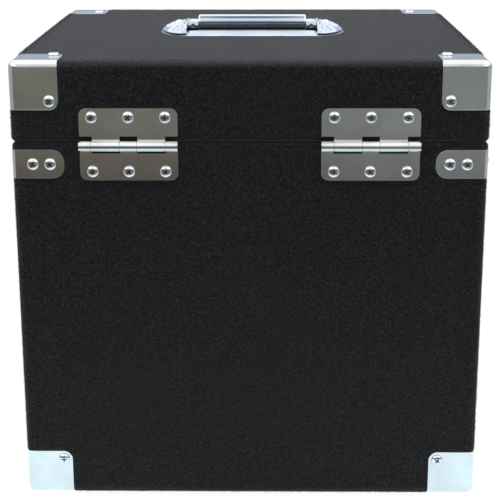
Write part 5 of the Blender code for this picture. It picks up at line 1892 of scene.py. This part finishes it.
    def _height(self, share: float, turn: float) -> float:
        """Return the casting's height over its base, at a share of the way out and of the half turn."""
        dome = 1 - share**4
        ray = math.cos(math.pi * self.rays * turn)
        valley = 1 - abs(ray)
        base = self.casting_rim + (self.casting_height - self.casting_rim) * dome * (1 - 0.42 * valley * share)
        crest = max(0.0, math.cos(math.pi * 2 * self.rays * turn)) ** 2
        ridge = self.ray_height * crest * math.sin(math.pi * min(share * 1.1, 1)) ** 2
        bands = [self.band_height * math.exp(-(((share - middle) / width) ** 2))
                 for middle, width in ((0.84, 0.04), (0.34, 0.05))]
        spot = Vector((share * math.sin(math.pi * turn), share * math.cos(math.pi * turn), 0))
        lump = noise.noise(spot * 7.5) + 0.6 * noise.noise(spot * 15)
        relief = ridge + sum(bands) * (0.6 + 0.4 * abs(ray)) + self.casting_relief * lump
        return base + relief * (1 - share**6) - self.casting_drop * share

    def _casting(self, name: str, side: int) -> None:
        """Make one end casting: a shell with rays, a raised band and a boss for the pivot."""
        edge = self.tip_curve(self.casting_inset)
        edge = [(self.casting_x, edge[0][1]), *edge, (self.casting_x, edge[-1][1])]
        last = len(edge) - 1
        matrix = Matrix.Translation((0, CASE.middle_y, self.casting_z)) @ Matrix.Diagonal((side, 1, 1, 1))
        solid = Solid(f"handle_{name}_end_casting")
        bm = solid.bm
        middle = bm.verts.new((self.casting_x, 0, self._height(0, 0)))
        base_middle = bm.verts.new((self.casting_x, 0, 0))
        base = [bm.verts.new((x, y, 0)) for x, y in edge]
        rings = []
        for step in range(1, self.casting_rings + 1):
            share = (step / self.casting_rings) ** 0.85
            rings.append([bm.verts.new((self.casting_x + share * (x - self.casting_x), share * y,
                                        self._height(share, n / last))) for n, (x, y) in enumerate(edge)])
        for n in range(last):
            bm.faces.new((middle, rings[0][n], rings[0][n + 1]))
            for one, other in zip(rings, rings[1:]):
                bm.faces.new((one[n], other[n], other[n + 1], one[n + 1]))
            bm.faces.new((rings[-1][n], base[n], base[n + 1], rings[-1][n + 1]))
        bm.faces.new((base_middle, *base))
        bm.faces.new((base_middle, base[0], *[ring[0] for ring in reversed(rings)], middle))
        bm.faces.new((base_middle, middle, *[ring[-1] for ring in rings], base[-1]))
        bmesh.ops.transform(bm, verts=bm.verts, matrix=matrix)
        solid.crossbar(span(side, self.casting_x, self.casting_x + self.boss_length),
                       (self.axis_y, self.axis_z), self.boss_radius, self.boss_chamfer)
        x = side * self.bolt_x
        seat = Solid("seat").rod((x, CASE.middle_y, self.bolt_seat - CASE.gap),
                                 (x, CASE.middle_y, self.bolt_seat + self.seat_height), self.seat_radius)
        solid.piece("lid", CAST, Slot.CHROME, f"handle_{name}_end", carve=seat, sharp=math.radians(50))

    def _bolt(self, name: str, side: int) -> None:
        """Make a handle bolt, its nut and the pivot pin beside it."""
        place = Matrix.Translation((side * self.bolt_x, CASE.middle_y, 0))
        chamfer, radius, seat = self.bolt_chamfer, self.bolt_radius, self.bolt_seat
        dome = [(self.bolt_head * math.cos(a), seat + self.bolt_dome * math.sin(a))
                for a in (math.pi / 2 * n / 8 for n in range(8))]
        profile = [(radius - chamfer, self.bolt_end), (radius, self.bolt_end + chamfer), (radius, seat), *dome,
                   (0.1 * MM, seat + self.bolt_dome)]
        bolt = Solid(f"handle_{name}_bolt_domed").lathe(profile, place)
        bolt.piece("lid", CHROME, Slot.CHROME, f"handle_{name}_bolt")
        high = CASE.ceiling_z - CASE.gap
        hexagon = arc((0, 0), self.nut_radius, 0, 4, 6)[:-1]
        nut = Solid(f"handle_{name}_nut_hex")
        nut.sleeve(hexagon, (0, 0), self.nut_bore, place, high - self.nut_height, high)
        nut.piece("lid", ZINC, Slot.ZINC, f"handle_{name}_nut", bevel=self.nut_rim)
        pin = Solid(f"handle_{name}_pin_rod")
        pin.crossbar(span(side, self.arm_inner + CASE.gap, self.casting_x + self.pin_depth),
                     (self.axis_y, self.axis_z), self.pin_radius, self.pin_chamfer)
        pin.piece("lid", ZINC, Slot.ZINC, f"handle_{name}_pin")

    def _arm(self, name: str, side: int) -> None:
        """Make one arm of the bail, bored for its pin and for the screw in its nose."""
        y, z = CASE.middle_y + self.nose_ahead, self.plate_high + self.nose_above
        axis = (self.axis_y, self.axis_z)
        outline = arc((y, z), self.nose, -1, 1, 16) + arc(axis, self.hub, 1, 3, 16)
        arm = Solid(f"handle_{name}_arm_bar")
        section = axes_to((0, 0, 0), Y_AXIS, Z_AXIS, X_AXIS)
        arm.extrude(outline, section, *span(side, self.arm_inner, self.arm_outer))
        hole = Solid("hole")
        hole.crossbar(span(side, self.arm_inner - OVERRUN, self.arm_outer + OVERRUN), axis, self.hub_bore)
        x, tip = side * (self.arm_inner + self.arm_outer) / 2, y + self.nose
        hole.rod((x, tip - self.hole_depth, z), (x, tip + OVERRUN / 2, z), self.hole_radius)
        arm.piece("handle_bail", CAST, Slot.CHROME, f"handle_{name}_arm", bevel=self.arm_rim, carve=hole)

    def _grip(self) -> None:
        """Make the round grip; a ring near each end keeps the shading of its round edge off its length."""
        half = self.arm_inner - CASE.gap
        curve = self.grip_round
        turn = axes_to((-half, self.grip_y, self.grip_z), Y_AXIS, Z_AXIS, X_AXIS)
        edge = [(self.grip - curve + curve * math.sin(a), curve - curve * math.cos(a))
                for a in (math.pi / 2 * n / 6 for n in range(7))] + [(self.grip, self.grip_hold)]
        profile = edge + [(radius, 2 * half - height) for radius, height in reversed(edge)]
        grip = Solid("handle_grip_bar").lathe(profile, turn, 72)
        grip.piece("handle_bail", CHROME, Slot.CHROME, "handle_grip", sharp=math.radians(40))


def main() -> None:
    """Build the case's looks in order."""
    logging.basicConfig(level=logging.INFO, format="%(name)s: %(message)s", stream=sys.stdout)
    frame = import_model()
    Studio().build()
    screws = CrossHeadScrews()
    caps, brackets = CornerCaps(screws), CornerBrackets(screws)
    Panels(frame["nodes"]).build()
    Carpets(caps, brackets).build()
    Liners().build()
    Feet(screws).build()
    caps.build()
    brackets.build()
    Hinges(screws).build()
    Latches(screws).build()
    Handle().build()
    screws.build()


if __name__ == "__main__":
    main()
